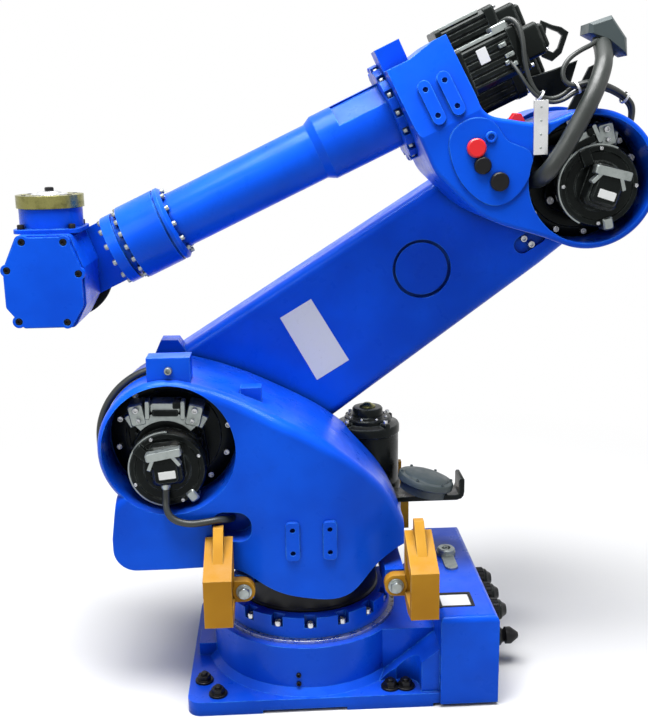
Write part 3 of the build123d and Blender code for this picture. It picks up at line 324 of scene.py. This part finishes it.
class Piece:
    """One piece of the scene: a mesh built in millimetres in the model's frame."""

    def __init__(self, name, body, slot, look=None):
        self.name, self.body, self.slot, self.look = name, body, slot, look
        self.shape = bmesh.new()

    def rings(self, place, loops, closed=True):
        """Skin over loops that have as many points each."""
        rows = [[self.shape.verts.new(place @ Vector(p)) for p in loop] for loop in loops]
        for low, high in zip(rows, rows[1:]):
            for i in range(len(low)):
                j = (i + 1) % len(low)
                self.shape.faces.new((low[i], low[j], high[j], high[i]))
        if closed:
            self.shape.faces.new(rows[0][::-1])
            self.shape.faces.new(rows[-1])

    def turned(self, place, profile, sides=40):
        """Turned part about local Z through (radius, height) points."""
        self.rings(place, [ring(radius, height, sides) for radius, height in profile])

    def block(self, place, outline, low, high, edge=2.0):
        """Outline grown along local Z, with a chamfered far rim."""
        middle = sum((Vector(p) for p in outline), Vector((0.0, 0.0))) / len(outline)
        inner = [Vector(p) + (middle - Vector(p)).normalized() * edge for p in outline]
        self.rings(place, [
            [(x, y, low) for x, y in outline],
            [(x, y, high - edge) for x, y in outline],
            [(x, y, high) for x, y in inner],
        ])

    def bar(self, place, inside, outside, low, high, start, end, steps=20):
        """Bar bent round local Z from one angle to another."""
        loops = []
        for i in range(steps + 1):
            a = radians(start + (end - start) * i / steps)
            loops.append([(r * cos(a), r * sin(a), h) for r, h in
                          ((inside, low), (outside, low), (outside, high), (inside, high))])
        self.rings(place, loops)

    def screw(self, place, size):
        """Cap screw with a hexagon socket, standing on local XY; size is its thread."""
        head = 0.75 * size
        self.rings(place, [
            ring(head, 0.0, 24), ring(head, 0.86 * size, 24), ring(0.88 * head, size, 24),
            hexagon(0.5 * size, size), hexagon(0.5 * size, 0.4 * size),
        ])

    def anchor(self, place, size):
        """Anchor bolt: thick washer, hexagon head and the stud's end."""
        self.turned(place, [(1.35 * size, 0.0), (1.35 * size, 0.28 * size), (1.25 * size, 0.36 * size),
                            (0.9 * size, 0.36 * size)], 28)
        self.rings(place, [
            hexagon(0.98 * size, 0.3 * size), hexagon(0.98 * size, 0.96 * size), ring(0.82 * size, 1.08 * size, 24),
            ring(0.52 * size, 1.08 * size, 24), ring(0.52 * size, 1.34 * size, 24), ring(0.42 * size, 1.44 * size, 24),
        ])

    def mesh(self):
        """Mesh of the finished piece, in metres."""
        bmesh.ops.recalc_face_normals(self.shape, faces=self.shape.faces)
        bmesh.ops.scale(self.shape, vec=(MM, MM, MM), verts=self.shape.verts)
        mesh = bpy.data.meshes.new(self.name)
        self.shape.to_mesh(mesh)
        self.shape.free()
        return mesh

    def done(self, replaced=()):
        """Hangs the finished piece on its body, in place of the nodes that it replaces."""
        mesh = self.mesh()
        mesh.shade_smooth()
        mesh.set_sharp_from_angle(angle=SHARP_ANGLE)
        settle(self.name, mesh, self.body, self.slot, replaced, self.look)


def linked(name, data):
    """New object in the scene."""
    item = bpy.data.objects.new(name, data)
    bpy.context.scene.collection.objects.link(item)
    return item


def settle(name, data, body, slot, replaced=(), look=None):
    """Adds a piece, gives it its material and hangs it on its body."""
    data.materials.append(MATERIALS[look or slot])
    item = linked(name, data)
    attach(item, body)
    if replaced:
        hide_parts(*replaced)
    return item


# Base casting with pockets for the rear anchor bolts

def pocketed_base():
    """Copy of the base casting whose rear gussets are spot-faced down to the foot round the anchor bolts."""
    floor_z, top_z = FOOT_TOP + 0.2, 230
    cutter = Piece("pocket_cutter", "base", "blue_paint")
    for side in SIDES:
        for x in REAR_ANCHORS_X:
            cutter.turned(upright(x, ANCHOR_Y * side, 0), [(36, floor_z), (36, top_z)], 48)
        between = upright(sum(REAR_ANCHORS_X) / 2, (ANCHOR_Y + 18) * side, 0)
        cutter.block(between, rounded(110, 40, 2, 2), floor_z, top_z, 0.5)
    tool = linked(cutter.name, cutter.mesh())
    shape = bmesh.new()
    shape.from_mesh(nodes["base_casting"].data)
    bmesh.ops.remove_doubles(shape, verts=shape.verts, dist=0.01 * MM)
    mesh = bpy.data.meshes.new("pocketed_base")
    shape.to_mesh(mesh)
    shape.free()
    item = linked("pocketed_base", mesh)
    cut = item.modifiers.new("pockets", "BOOLEAN")
    cut.operation, cut.solver, cut.use_self, cut.object = "DIFFERENCE", "EXACT", True, tool
    bpy.context.view_layer.update()
    cut_mesh = bpy.data.meshes.new_from_object(item.evaluated_get(bpy.context.evaluated_depsgraph_get()))
    bpy.data.objects.remove(item)
    bpy.data.objects.remove(tool)
    cut_mesh.materials.clear()
    shape = bmesh.new()
    shape.from_mesh(cut_mesh)
    bmesh.ops.dissolve_limit(shape, angle_limit=radians(0.5), verts=shape.verts, edges=shape.edges)
    for face in shape.faces:
        face.smooth = True
    for edge in shape.edges:
        edge.smooth = edge.calc_face_angle(0.0) < radians(25)
    shape.to_mesh(cut_mesh)
    shape.free()
    settle("base_casting_pocketed", cut_mesh, "base", "blue_paint", ["base_casting"])


pocketed_base()


# Cords

def cord(name, body, points, diameter, replaced=()):
    """Free cable or hose along one smooth spline, back into the object at its far end."""
    data = bpy.data.curves.new(name, "CURVE")
    data.dimensions = "3D"
    data.resolution_u = 10
    data.bevel_depth = diameter / 2 * MM
    data.bevel_resolution = 5
    data.use_fill_caps = True
    spline = data.splines.new("NURBS")
    spline.points.add(len(points) - 1)
    for knot, point in zip(spline.points, points):
        knot.co = (*(Vector(point) * MM), 1.0)
    spline.order_u = 3
    spline.use_endpoint_u = True
    item = settle(name, data, body, "black_rubber", replaced)


def arc_of(radius, angles):
    """Points round the shoulder housing."""
    return [SHOULDER + Vector((radius * cos(radians(a)), 84.0, radius * sin(radians(a)))) for a in angles]


cord("shoulder_cable", "swivel", [
    (337, 190, 580.7), (337, 190, 545.7), (338, 208, 513.7), (322, 216, 489.7), (284, 217, 477.7),
    (242, 216, 482), (212, 209, 484), (190, 186, 474), (184, 152, 464),
], 17, ["shoulder_motor_cable"])
cord("housing_drain_hose", "swivel", arc_of(180.2, (84, 72.5, 61, 49.5, 38, 26.5, 15, 3.5, -8)), 18,
     ["housing_hose"])
cord("elbow_hose", "elbow", [fore(*p) for p in (
    (108, 46, 75.3), (108, 46, 160), (92, 58, 222), (44, 88, 233), (-10, 128, 231.5),
    (-68, 172, 229), (-120, 214, 196), (-148, 240, 150), (-166, 262, 100),
)], 40, ["harness_hose"])
cord("drive_cable", "elbow", [fore(*p) for p in (
    (48, 386, 114), (31, 399, 128), (13, 397, 145), (6, 372, 160), (14, 338, 168), (26, 304, 169), (32, 272, 169),
    (33, 240, 168), (24, 212, 168), (4, 197, 166), (-22, 194, 166), (-46, 201, 168), (-74, 201, 168),
    (-104, 187, 160), (-134, 162, 150), (-158, 130, 142), (-166, 98, 138), (-148, 70, 136),
)], 11)
cord("drive_signal_cable", "elbow", [fore(*p) for p in (
    (52, 318, 140), (49, 302, 152), (46, 278, 164), (43, 248, 172), (34, 216, 176), (12, 192, 176), (-16, 184, 176),
    (-44, 189, 177), (-72, 189, 176), (-102, 175, 168), (-130, 151, 158), (-151, 122, 150), (-158, 94, 146),
    (-144, 72, 144),
)], 9)
cord("connector_loop", "elbow", [fore(*p) for p in (
    (-172, 272, 110), (-136, 264, 138), (-102, 266, 156), (-66, 262, 166), (-40, 246, 172), (-33, 220, 177),
    (-50, 202, 182), (-78, 197, 182), (-106, 180, 174), (-134, 155, 165), (-157, 124, 157), (-163, 95, 153),
    (-147, 72, 151),
)], 11)


# Motors

def side_servo(name, body, node, middle, depth, turn, drop, tilt, spread):
    """Servo motor on a recess floor: flange, barrel, drum set low, encoder cap, saddle clamps, a grey arc of painted
    highlight on half the drum's rim, label and screws.

    The motor is turned and its saddle clamps tilted in degrees; spread scales the saddle clamps to the room in the
    recess.
    """
    place = stand(Vector(middle) + NEAR * depth, NEAR, (-1, 0, 0)) @ shift(0, 0, 0, turn)
    drum = place @ shift(0, -drop)
    seat = place @ shift(0, 0, 0, tilt)
    case = Piece(f"{name}_case", body, "black_paint")
    case.block(place, rounded(186, 186, 40), 0, 22, 3)
    case.turned(place, [(82, 18), (82, 70), (78, 74), (40, 74)], 64)
    case.turned(drum, [(74, 56), (88, 66), (92, 72), (93, 78), (93, 106), (89, 112), (78, 112),
                       (76, 109), (57, 109), (55, 112), (40, 112)], 64)
    for k in range(14):
        case.block(place @ spoke(k, 14, 0.5) @ shift(84, 0), rounded(10, 5, 1.5, 2), 22, 64, 1)
    case.block(place @ shift(4, -12), rounded(78, 96, 16), 108, 148, 6)
    case.block(place @ shift(4, -16), rounded(62, 70, 12), 146, 166, 5)
    case.block(seat @ shift(0, 104 * spread), rounded(62, 16, 4), 88, 98, 2)
    case.block(seat @ shift(30, 124 * spread), rounded(24, 18, 4), 60, 100, 3)
    case.block(drum @ shift(-52, 50, 0, 40), rounded(26, 40, 5), 108, 122, 3)
    case.done([node])
    clamp_and_rim_highlight = Piece(f"{name}_clamp", body, "grey_metal")
    clamp_and_rim_highlight.bar(seat, 83, 104 * spread, 30, 88, 44, 136, 28)
    # Grey arc over half the drum's rim: painted highlight, where the rim catches the light on that side.
    clamp_and_rim_highlight.bar(drum, 90, 94.4, 99, 109, 82, 262, 40)
    for side in SIDES:
        clamp_and_rim_highlight.block(seat @ shift(side * 68 * spread, 96 * spread, 0, side * -12), rounded(38, 54, 6), 24, 90, 4)
        clamp_and_rim_highlight.block(seat @ shift(side * 84 * spread, 78 * spread, 0, side * -30), rounded(22, 34, 4), 24, 74, 3)
        clamp_and_rim_highlight.block(seat @ shift(side * 42 * spread, 112 * spread), rounded(10, 46, 3), 70, 102, 2)
    clamp_and_rim_highlight.block(seat @ shift(0, 116 * spread), rounded(78, 26, 8), 40, 94, 5)
    clamp_and_rim_highlight.block(place @ shift(4, 22, 0, 4), rounded(84, 20, 4), 144, 170, 3)
    clamp_and_rim_highlight.block(place @ shift(-26, 6, 0, 62), rounded(40, 9, 2), 146, 168, 2)
    clamp_and_rim_highlight.block(place @ shift(30, 7, 0, -58), rounded(36, 9, 2), 146, 168, 2)
    clamp_and_rim_highlight.block(drum @ shift(50, -74, 0, 30), rounded(24, 30, 6), 70, 116, 4)
    clamp_and_rim_highlight.done()
    label = Piece(f"{name}_label", body, "white_plastic")
    label.block(place @ shift(6, -28), rounded(40, 19, 1.5, 2), 165.8, 166.8, 0.3)
    label.done()
    screws = Piece(f"{name}_screws", body, "bare_steel")
    for x in SIDES:
        for y in SIDES:
            screws.screw(place @ shift(74 * x, 74 * y, 22), 13)
    for angle in (18, 108, 198, 288):
        a = radians(angle)
        screws.screw(drum @ shift(84 * cos(a), 84 * sin(a), 112), 6)
    for side in SIDES:
        screws.screw(seat @ shift(side * 70 * spread, 110 * spread, 90), 10)
        screws.screw(seat @ shift(side * 64 * spread, 84 * spread, 90), 7)
    screws.done()


side_servo("shoulder_servo", "swivel", "shoulder_motor", (337, 0, 633), SHOULDER_FLOOR,
           turn=6, drop=32, tilt=-8, spread=1.0)
side_servo("elbow_servo", "elbow", "elbow_motor", (-682.5, 0, 1263.06), ELBOW_FLOOR,
           turn=-18, drop=12, tilt=44, spread=0.88)

gland = Piece("shoulder_cable_gland", "swivel", "grey_metal")
gland.turned(stand((337, 190, 592), -RISE, (1, 0, 0)),
             [(15, 0), (15, 14), (12, 18), (12, 26), (9.5, 32), (8.6, 34)], 24)
gland.done()


def swing_servo():
    """Upright motor behind the shoulder."""
    place = upright(-175, -132, 428)
    case = Piece("swing_servo_case", "swivel", "black_paint")
    case.turned(place, [(88, 0), (88, 20), (85, 24), (83, 26), (83, 160), (86, 163), (86, 179), (83, 185), (66, 187),
                        (63, 189), (63, 200), (60, 203), (43, 204), (41, 206), (41, 224), (38, 228), (20, 229)], 64)
    for k in range(4):
        case.block(place @ spoke(k, 4, 0.4) @ shift(72, 0), rounded(24, 20, 5), 180, 196, 3)
    case.done(["swing_motor"])
    screws = Piece("swing_servo_screws", "swivel", "bare_steel")
    for k in range(4):
        screws.screw(place @ spoke(k, 4, 0.4) @ shift(72, 0, 196), 8)
    for k in range(8):
        screws.screw(place @ spoke(k, 8, 0.5) @ shift(52, 0, 202), 5)
    screws.done()
    cap = Piece("swing_servo_cap", "swivel", "gold_flange")
    cap.turned(place, [(22, 228), (22, 231), (17, 234), (9, 239), (3, 240)], 32)
    cap.done()


swing_servo()


def drive_servo(name, node, y, height, label):
    """Square wrist drive on the rear of the gear case, with its connectors on top."""
    place = stand(fore(160, height, y), -FORWARD, -NEAR)
    case = Piece(f"{name}_case", "elbow", "black_paint")
    case.block(place, rounded(112, 112, 12), 0, 16, 2)
    case.rings(place, [[(px, py, h) for px, py in finned(104, 5, 6, 4, 10)] for h in (15, 126)])
    case.block(place, rounded(110, 110, 12), 125, 150, 4)
    case.block(place, rounded(76, 76, 12), 148, 200, 5)
    case.block(place, rounded(56, 56, 8), 198, 212, 4)
    top = stand(fore(96, height + 51, y), ABOVE, -FORWARD)
    if label:
        case.block(top @ shift(-22, 0), rounded(34, 44, 5), 0, 6, 2)
        case.block(top @ shift(24, 0), rounded(30, 30, 14), 0, 6, 2)
    case.done([node])
    strips = Piece(f"{name}_strips", "elbow", "grey_metal")
    for side in SIDES:
        strips.block(top @ shift(-6, side * 44), rounded(112, 9, 2), -1, 6, 1.5)
    strips.block(place, rounded(40, 40, 6), 211, 212, 0.5)
    strips.done()
    screws = Piece(f"{name}_screws", "elbow", "bare_steel")
    for x in SIDES:
        for side in SIDES:
            screws.screw(place @ shift(47 * x, 47 * side, 150), 6)
            screws.screw(place @ shift(30 * x, 30 * side, 200), 4)
    screws.done()
    if label:
        blank = Piece(f"{name}_label", "elbow", "white_plastic")
        blank.block(beside(101, height + 19, y + 51.5), rounded(24, 34, 1.5, 2), 0, 1, 0.3)
        blank.done()


drive_servo("roll_servo", "roll_motor", 93, 330, True)
drive_servo("bend_servo", "bend_motor", -29, 391, False)
drive_servo("turn_servo", "turn_motor", -29, 272, False)

dome = Piece("swing_gear_dome", "swivel", "black_plastic", "slate_plastic")
dome_place = upright(-312.3, -35, 446) @ Matrix.Rotation(radians(-14), 4, "Y")
dome.turned(dome_place, [(62, 0), (62, 20), (71, 22), (74, 25), (74, 38), (72, 41), (64, 43), (61, 43),
                         (58, 46), (40, 51), (20, 54), (4, 55)], 64)
for k in range(6):
    dome.screw(dome_place @ spoke(k, 6) @ shift(67, 0, 42), 5)
dome.done(["swing_gear_cover"])

shelf = Piece("swing_shelf", "swivel", "black_paint")
shelf_side = (
    (-238, 430), (-398, 430), (-410, 434), (-416, 442), (-418, 452), (-418, 486), (-415, 490),
    (-408, 490), (-405, 486), (-405, 454), (-402, 446), (-396, 444), (-238, 444),
)
shelf.block(stand((0, -70, 0), NEAR, (1, 0, 0)), [(x, -z) for x, z in shelf_side], 0, 70, 1.5)
shelf.done(["swing_cable_hook"])


# Bolts, a sleeve of painted shadow round the neck, and mount plates

def circle_of(piece, origin, axis, radius, count, size, start=0.0, sink=0.0):
    """Screws round a circle, heads along the axis."""
    place = stand(origin, axis, NEAR if abs(Vector(axis).y) < 0.5 else RISE)
    for k in range(count):
        a = radians(start + 360.0 * k / count)
        piece.screw(place @ shift(radius * cos(a), radius * sin(a), -sink), size)


anchors = Piece("anchor_bolts", "base", "black_plastic")
for side in SIDES:
    for x, y in ((FRONT_ANCHOR_X, ANCHOR_Y), (270, 172), *((x, ANCHOR_Y) for x in REAR_ANCHORS_X)):
        anchors.anchor(upright(x, y * side, FOOT_TOP), 17)
anchors.done()

# Black sleeve over the neck under the skirt: painted shadow, where the skirt shades the neck.
shadow_sleeve = Piece("neck_shadow_sleeve", "swivel", "black_plastic")
neck_shadow_profile = ((178, 214), (184, 214), (186, 218), (186, 226), (182, 230), (182, 296), (178, 296), (178, 214))
shadow_sleeve.rings(upright(0, 0, 0), [ring(radius, height, 96) for radius, height in neck_shadow_profile], closed=False)
shadow_sleeve.done()

rotor = Piece("swivel_flange_screws", "swivel", "bare_steel")
circle_of(rotor, (0, 0, 193.3), RISE, 207, 16, 12)
rotor.done()

flange = Piece("forearm_flange_screws", "forearm", "grey_metal")
circle_of(flange, fore(318, FOREARM_ABOVE, 0), FORWARD, 113, 16, 8)
circle_of(flange, fore(1020, FOREARM_ABOVE, 0), FORWARD, 84.5, 16, 9)
circle_of(flange, fore(1064, FOREARM_ABOVE, 0), FORWARD, 78, 12, 9, 15)
circle_of(flange, fore(904, FOREARM_ABOVE, 0), -FORWARD, 78, 12, 8)
flange.done()

wrist_screws = Piece("wrist_screws", "wrist", "black_plastic")
for dx, dz in ((46, 108), (-49, 106), (85, 43), (-79, 32), (67, -78), (-45, -82)):
    wrist_screws.screw(stand(WRIST + Vector((dx, 111, dz)), NEAR, RISE), 10)
for sx in SIDES:
    for sy in SIDES:
        wrist_screws.screw(stand(WRIST + Vector((60 * sx, 60 * sy, 132)), RISE, NEAR), 11)
wrist_screws.done()

hubs = Piece("hub_screws", "lower_arm", "bare_steel")
hub_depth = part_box("elbow_hub_cover")[0][1] / MM
circle_of(hubs, ELBOW + NEAR * hub_depth, -NEAR, 104, 12, 11)
circle_of(hubs, SHOULDER + NEAR * hub_depth, -NEAR, 104, 12, 11)
hubs.done()

clamps = Piece("bracket_bolts", "swivel", "grey_metal")
for bx in (159, -209):
    for side in SIDES:
        bolt = stand((bx, side * 231, 306), NEAR * side, RISE)
        clamps.turned(bolt, [(19, 0), (19, 4), (17, 5)], 28)
        clamps.rings(bolt, [hexagon(15, 4), hexagon(15, 14), ring(12.5, 16.5, 24)])
clamps.screw(stand((318, 176, 846), NEAR, RISE), 12)
clamps.done()

for joint, body, middle, radius, circle in (
    ("elbow", "elbow", ELBOW + NEAR * ELBOW_FLOOR, 141, 129),
    ("shoulder", "swivel", SHOULDER + NEAR * SHOULDER_FLOOR, 155, 137),
):
    floor_screws = Piece(f"{joint}_recess_screws", body, "bare_steel")
    circle_of(floor_screws, middle + NEAR * 6, NEAR, circle, 12, 10, 10)
    floor_screws.done()
    mount = Piece(f"{joint}_mount_plate", body, "black_paint")
    mount.turned(stand(middle, NEAR, RISE),
                 [(radius, 0), (radius, 4), (radius - 3, 6), (118, 6), (116, 9), (90, 9)], 72)
    mount.done()


# Small pieces

def frame_of(piece, place, width, height, border, low, high):
    """Raised border round a plate."""
    outer, inner = rounded(width, height, 4, 3), rounded(width - 2 * border, height - 2 * border, 2, 3)
    piece.rings(place, [
        [(x, y, low) for x, y in outer], [(x, y, high) for x, y in outer],
        [(x, y, high) for x, y in inner], [(x, y, low) for x, y in inner],
    ], closed=False)


plate_frame = Piece("name_plate_frame", "base", "black_plastic")
plate_low, plate_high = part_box("base_name_plate")
plate_middle = (Vector(plate_low) + Vector(plate_high)) / 2 / MM
frame_of(plate_frame, upright(plate_middle.x, plate_middle.y, 235.5), 88, 76, 7, 0, 5.5)
plate_frame.done()
plate_face = Piece("name_plate_face", "base", "white_plastic")
plate_face.block(upright(plate_middle.x, plate_middle.y, plate_high[2] / MM), rounded(70, 58, 2, 3), -0.4, 0.8, 0.3)
plate_face.done()

lever = Piece("arm_bracket_ring", "base", "grey_metal")
lever_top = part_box("base_arm_bracket")[1][2] / MM
lever_place = upright(-385, -83, lever_top)
lever.turned(lever_place, [(24, 0), (24, 7), (21, 10), (13, 10), (11, 8), (11, 1)], 36)
lever.screw(lever_place @ shift(0, 0, 1), 9)
lever.done()

sockets = Piece("base_connectors", "base", "black_plastic")
for sy in (-92, 0, 92):
    for sz in (-37.5, 37.5):
        nut = stand((-497, sy, 122 + sz), (-1, 0, 0), RISE)
        sockets.turned(nut, [(24, -30), (29, -27), (29, -6), (25, -3), (25, 2), (20, 6), (15, 14), (13, 16)], 32)
        if sy > 0 > sz:
            sockets.turned(nut, [(13, 14), (22, 16), (22, 30), (12, 44), (7, 50)], 28)
        for k in range(16):
            sockets.block(nut @ spoke(k, 16) @ shift(29, 0), rounded(3, 5, 1, 2), -26, -7, 0.6)
sockets.done()

ports = Piece("drum_plugs", "base", "black_plastic")
out = Vector((32.5, 247.0, 0.0)).normalized()
for pz in (40, 63, 86):
    ports.screw(stand(out * 246.5 + RISE * pz, out, RISE), 8)
ports.done()

blue_ring = Piece("panel_ring", "elbow", "blue_paint")
blue_ring.turned(beside(169, 186, 211), [(13, -1), (13, 4), (11, 6), (7.5, 6), (6.5, 4), (6.5, 1)], 28)
blue_ring.done()

wedge = Piece("red_wedge", "elbow", "red_plastic")
wedge.block(beside(88, 190, 136), [(-14, 12), (18, 10), (16, -8), (2, -16), (-12, -8)], 0, 22, 2)
wedge.done()


def loop_plate(piece, y, outline, window, thickness):
    """Flat plate in the forearm's plane, cut through by a window with as many corners."""
    piece.rings(beside(0, 0, y), [
        [(along, -above, height) for along, above in points]
        for points, height in ((window, 0), (outline, 0), (outline, thickness), (window, thickness), (window, 0))
    ], closed=False)


hook = Piece("cable_hook_plate", "elbow", "black_paint")
loop_plate(
    hook, 58,
    ((-68, 361), (-88, 340), (-105, 327), (-116, 309), (-83, 273), (-57, 266), (-40, 285), (-40, 313)),
    ((-74, 342), (-83, 331), (-94, 320), (-99, 309), (-80, 288), (-66, 283), (-57, 293), (-58, 314)),
    9,
)
hook.done()

tray = Piece("harness_tray", "elbow", "black_paint")
tray.block(beside(0, 0, 20),
           [(6, -256), (-60, -246), (-123, -240), (-83, -193), (-69, -179), (-25, -187), (-4, -205)], 0, 10, 2)
tray.block(beside(-12, 243, 6), rounded(30, 16, 3), 0, 16, 1)
tray.done()

hood = Piece("connector_hood", "elbow", "black_plastic", "slate_plastic")
hood.block(beside(0, 0, 59.5),
           [(-139, -290), (-149, -309), (-201, -303), (-214, -242), (-201, -206), (-171, -250)], 0, 72.5, 9)
hood.done(["connector_cover"])

ties = Piece("cable_ties", "elbow", "white_plastic")
for tie, heading in (((27, 215, 171), (-0.5, -0.86, 0.0)), ((-56, 197, 175), (-1.0, 0.05, 0.05)),
                     ((-108, 178, 166), (-0.76, -0.6, -0.25)), ((-153, 127, 149), (-0.55, -0.8, -0.2))):
    along, above, y = heading
    band = stand(fore(*tie), FORWARD * along + ABOVE * above + NEAR * y, NEAR)
    tie_profile = ((13, -2.5), (15, -2.5), (15, 2.5), (13, 2.5), (13, -2.5))
    ties.rings(band, [ring(radius, height, 20) for radius, height in tie_profile], closed=False)
ties.done()

clips = Piece("roll_servo_clips", "elbow", "grey_metal")
clips.block(stand(fore(44, 388, 120), ABOVE, FORWARD), rounded(40, 46, 5), -8, 10, 2)
for along, above, width in ((47, 326, 22), (45, 303, 16), (58, 312, 10), (54, 352, 18)):
    spot = beside(along, above, 144)
    clips.block(spot, rounded(width, 10, 2, 2), 0, 8, 1.5)
    clips.screw(spot @ shift(0, 0, 8), 4)
clips.done()

strip_holes = Piece("strip_rivets", "elbow", "grey_metal")
strip_line = FORWARD * cos(radians(66)) - ABOVE * sin(radians(66))
for along in (-44, -15, 15, 44):
    spot = fore(60, 156, 210) + strip_line * along
    strip_holes.turned(stand(spot, NEAR, FORWARD), [(2.6, -1), (2.6, 0.4), (1.8, 0.8), (0.6, 0.8)], 18)
strip_holes.done()

pilot = Piece("flange_disc", "tool_flange", "plain_aluminium")
flange_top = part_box("tool_flange")[1][2] / MM
pilot_place = upright(WRIST.x, 0, flange_top)
pilot.turned(pilot_place, [(44, -6), (44, 1), (41, 3), (30, 4), (28, 6), (22, 8), (14, 8.4)], 48)
pilot.done(["flange_cap"])
plug = Piece("flange_plug", "tool_flange", "black_plastic")
plug.rings(pilot_place, [hexagon(11, 8), hexagon(11, 15), ring(9, 17, 24), ring(5, 17.5, 24)])
circle_of(plug, (WRIST.x, 0, flange_top), RISE, 62.5, 6, 8, 0, 7)
plug.done()

sign = Piece("blank_plate", "lower_arm", "white_plastic")
sign.block(stand((0, -100, 0), NEAR, (-1, 0, 0)),
           [(-x, z) for x, z in ((54.2, 911.5), (-27.6, 959.4), (-124.5, 794.0), (-39.0, 742.1))], 0, 0.8, 0.3)
sign.done()

pocket = Piece("arm_pocket_screws", "lower_arm", "bare_steel")
for px, pz in ((-582, 1103), (-602, 1088)):
    pocket.screw(stand((px, -112, pz), NEAR, RISE), 12)
pocket.done()


# Camera, light and floor

def camera():
    """Camera at the photograph's viewing angle, for a picture 720 pixels high."""
    data = bpy.data.cameras.new("photo_camera")
    cam = linked("photo_camera", data)
    azimuth, rise, roll, focal_px = radians(177.47), radians(13.27), radians(-1.02), 982.8
    back = Vector((sin(azimuth) * cos(rise), -cos(azimuth) * cos(rise), sin(rise)))
    right = (-back).cross(RISE).normalized()
    up = right.cross(-back)
    right, up = right * cos(roll) + up * sin(roll), up * cos(roll) - right * sin(roll)
    turn = Matrix((right, up, back)).transposed().to_4x4()
    cam.matrix_world = Matrix.Translation((0.05274, 2.41763, 1.39023)) @ turn
    data.sensor_fit = "AUTO"
    data.sensor_width = 36.0
    data.lens = focal_px / 720 * data.sensor_width
    data.clip_end = 100.0
    bpy.context.scene.camera = cam


def lamp(name, place, target, size, power):
    """Area light turned to a target."""
    data = bpy.data.lights.new(name, "AREA")
    data.shape = "RECTANGLE"
    data.size, data.size_y = size
    data.energy = power
    item = linked(name, data)
    item.location = place
    item.rotation_euler = (Vector(target) - Vector(place)).to_track_quat("-Z", "Y").to_euler()


def studio():
    """Soft lamps, a faint cool world and a white surround for the camera and for reflections."""
    centre = (0.0, 0.0, 0.85)
    lamp("overhead", (0.3, 0.7, 4.6), centre, (3.2, 2.4), 420.0)
    lamp("key", (1.9, 2.4, 2.8), centre, (1.5, 1.5), 32.0)
    lamp("side", (-3.8, 1.6, 2.4), centre, (1.6, 2.0), 10.0)
    world = bpy.data.worlds.new("studio")
    bpy.context.scene.world = world
    world.use_nodes = True
    tree = world.node_tree
    soft = tree.nodes["Background"]
    soft.inputs["Color"].default_value = (0.80, 0.88, 1.0, 1.0)
    soft.inputs["Strength"].default_value = 0.11
    seen = tree.nodes.new("ShaderNodeBackground")
    seen.inputs["Color"].default_value = (1.0, 1.0, 1.0, 1.0)
    seen.inputs["Strength"].default_value = 1.0
    path = tree.nodes.new("ShaderNodeLightPath")
    mix = tree.nodes.new("ShaderNodeMixShader")
    either = tree.nodes.new("ShaderNodeMath")
    either.operation = "MAXIMUM"
    tree.links.new(path.outputs["Is Camera Ray"], either.inputs[0])
    tree.links.new(path.outputs["Is Glossy Ray"], either.inputs[1])
    tree.links.new(either.outputs["Value"], mix.inputs["Fac"])
    tree.links.new(soft.outputs["Background"], mix.inputs[1])
    tree.links.new(seen.outputs["Background"], mix.inputs[2])
    tree.links.new(mix.outputs["Shader"], tree.nodes["World Output"].inputs["Surface"])


def floor():
    """Pale floor that keeps the shadow near the object and fades to white."""
    mesh = bpy.data.meshes.new("studio_floor")
    side = 14.0
    mesh.from_pydata([(-side, -side, 0), (side, -side, 0), (side, side, 0), (-side, side, 0)], [], [(0, 1, 2, 3)])
    ground = linked("studio_floor", mesh)
    s = Shader("pale_floor")
    s.put(Roughness=0.7)
    white = s.add("ShaderNodeEmission")
    length = s.add("ShaderNodeVectorMath", operation="LENGTH")
    s.link(s.where, length.inputs[0])
    path = s.add("ShaderNodeLightPath")
    seen = s.math("MAXIMUM", path.outputs["Is Camera Ray"], path.outputs["Is Glossy Ray"])
    s.colour(s.mix(seen, (0.42, 0.42, 0.42), (0.80, 0.80, 0.80)))
    fade = s.math("MULTIPLY", seen, s.ramp(length.outputs["Value"], 0.9, 2.6))
    mix = s.add("ShaderNodeMixShader")
    s.link(fade, mix.inputs["Fac"])
    s.link(s.surface.outputs["BSDF"], mix.inputs[1])
    s.link(white.outputs["Emission"], mix.inputs[2])
    s.link(mix.outputs["Shader"], s.output.inputs["Surface"])
    mesh.materials.append(s.material)


camera()
studio()
floor()
bpy.context.scene.view_settings.view_transform = "Standard"
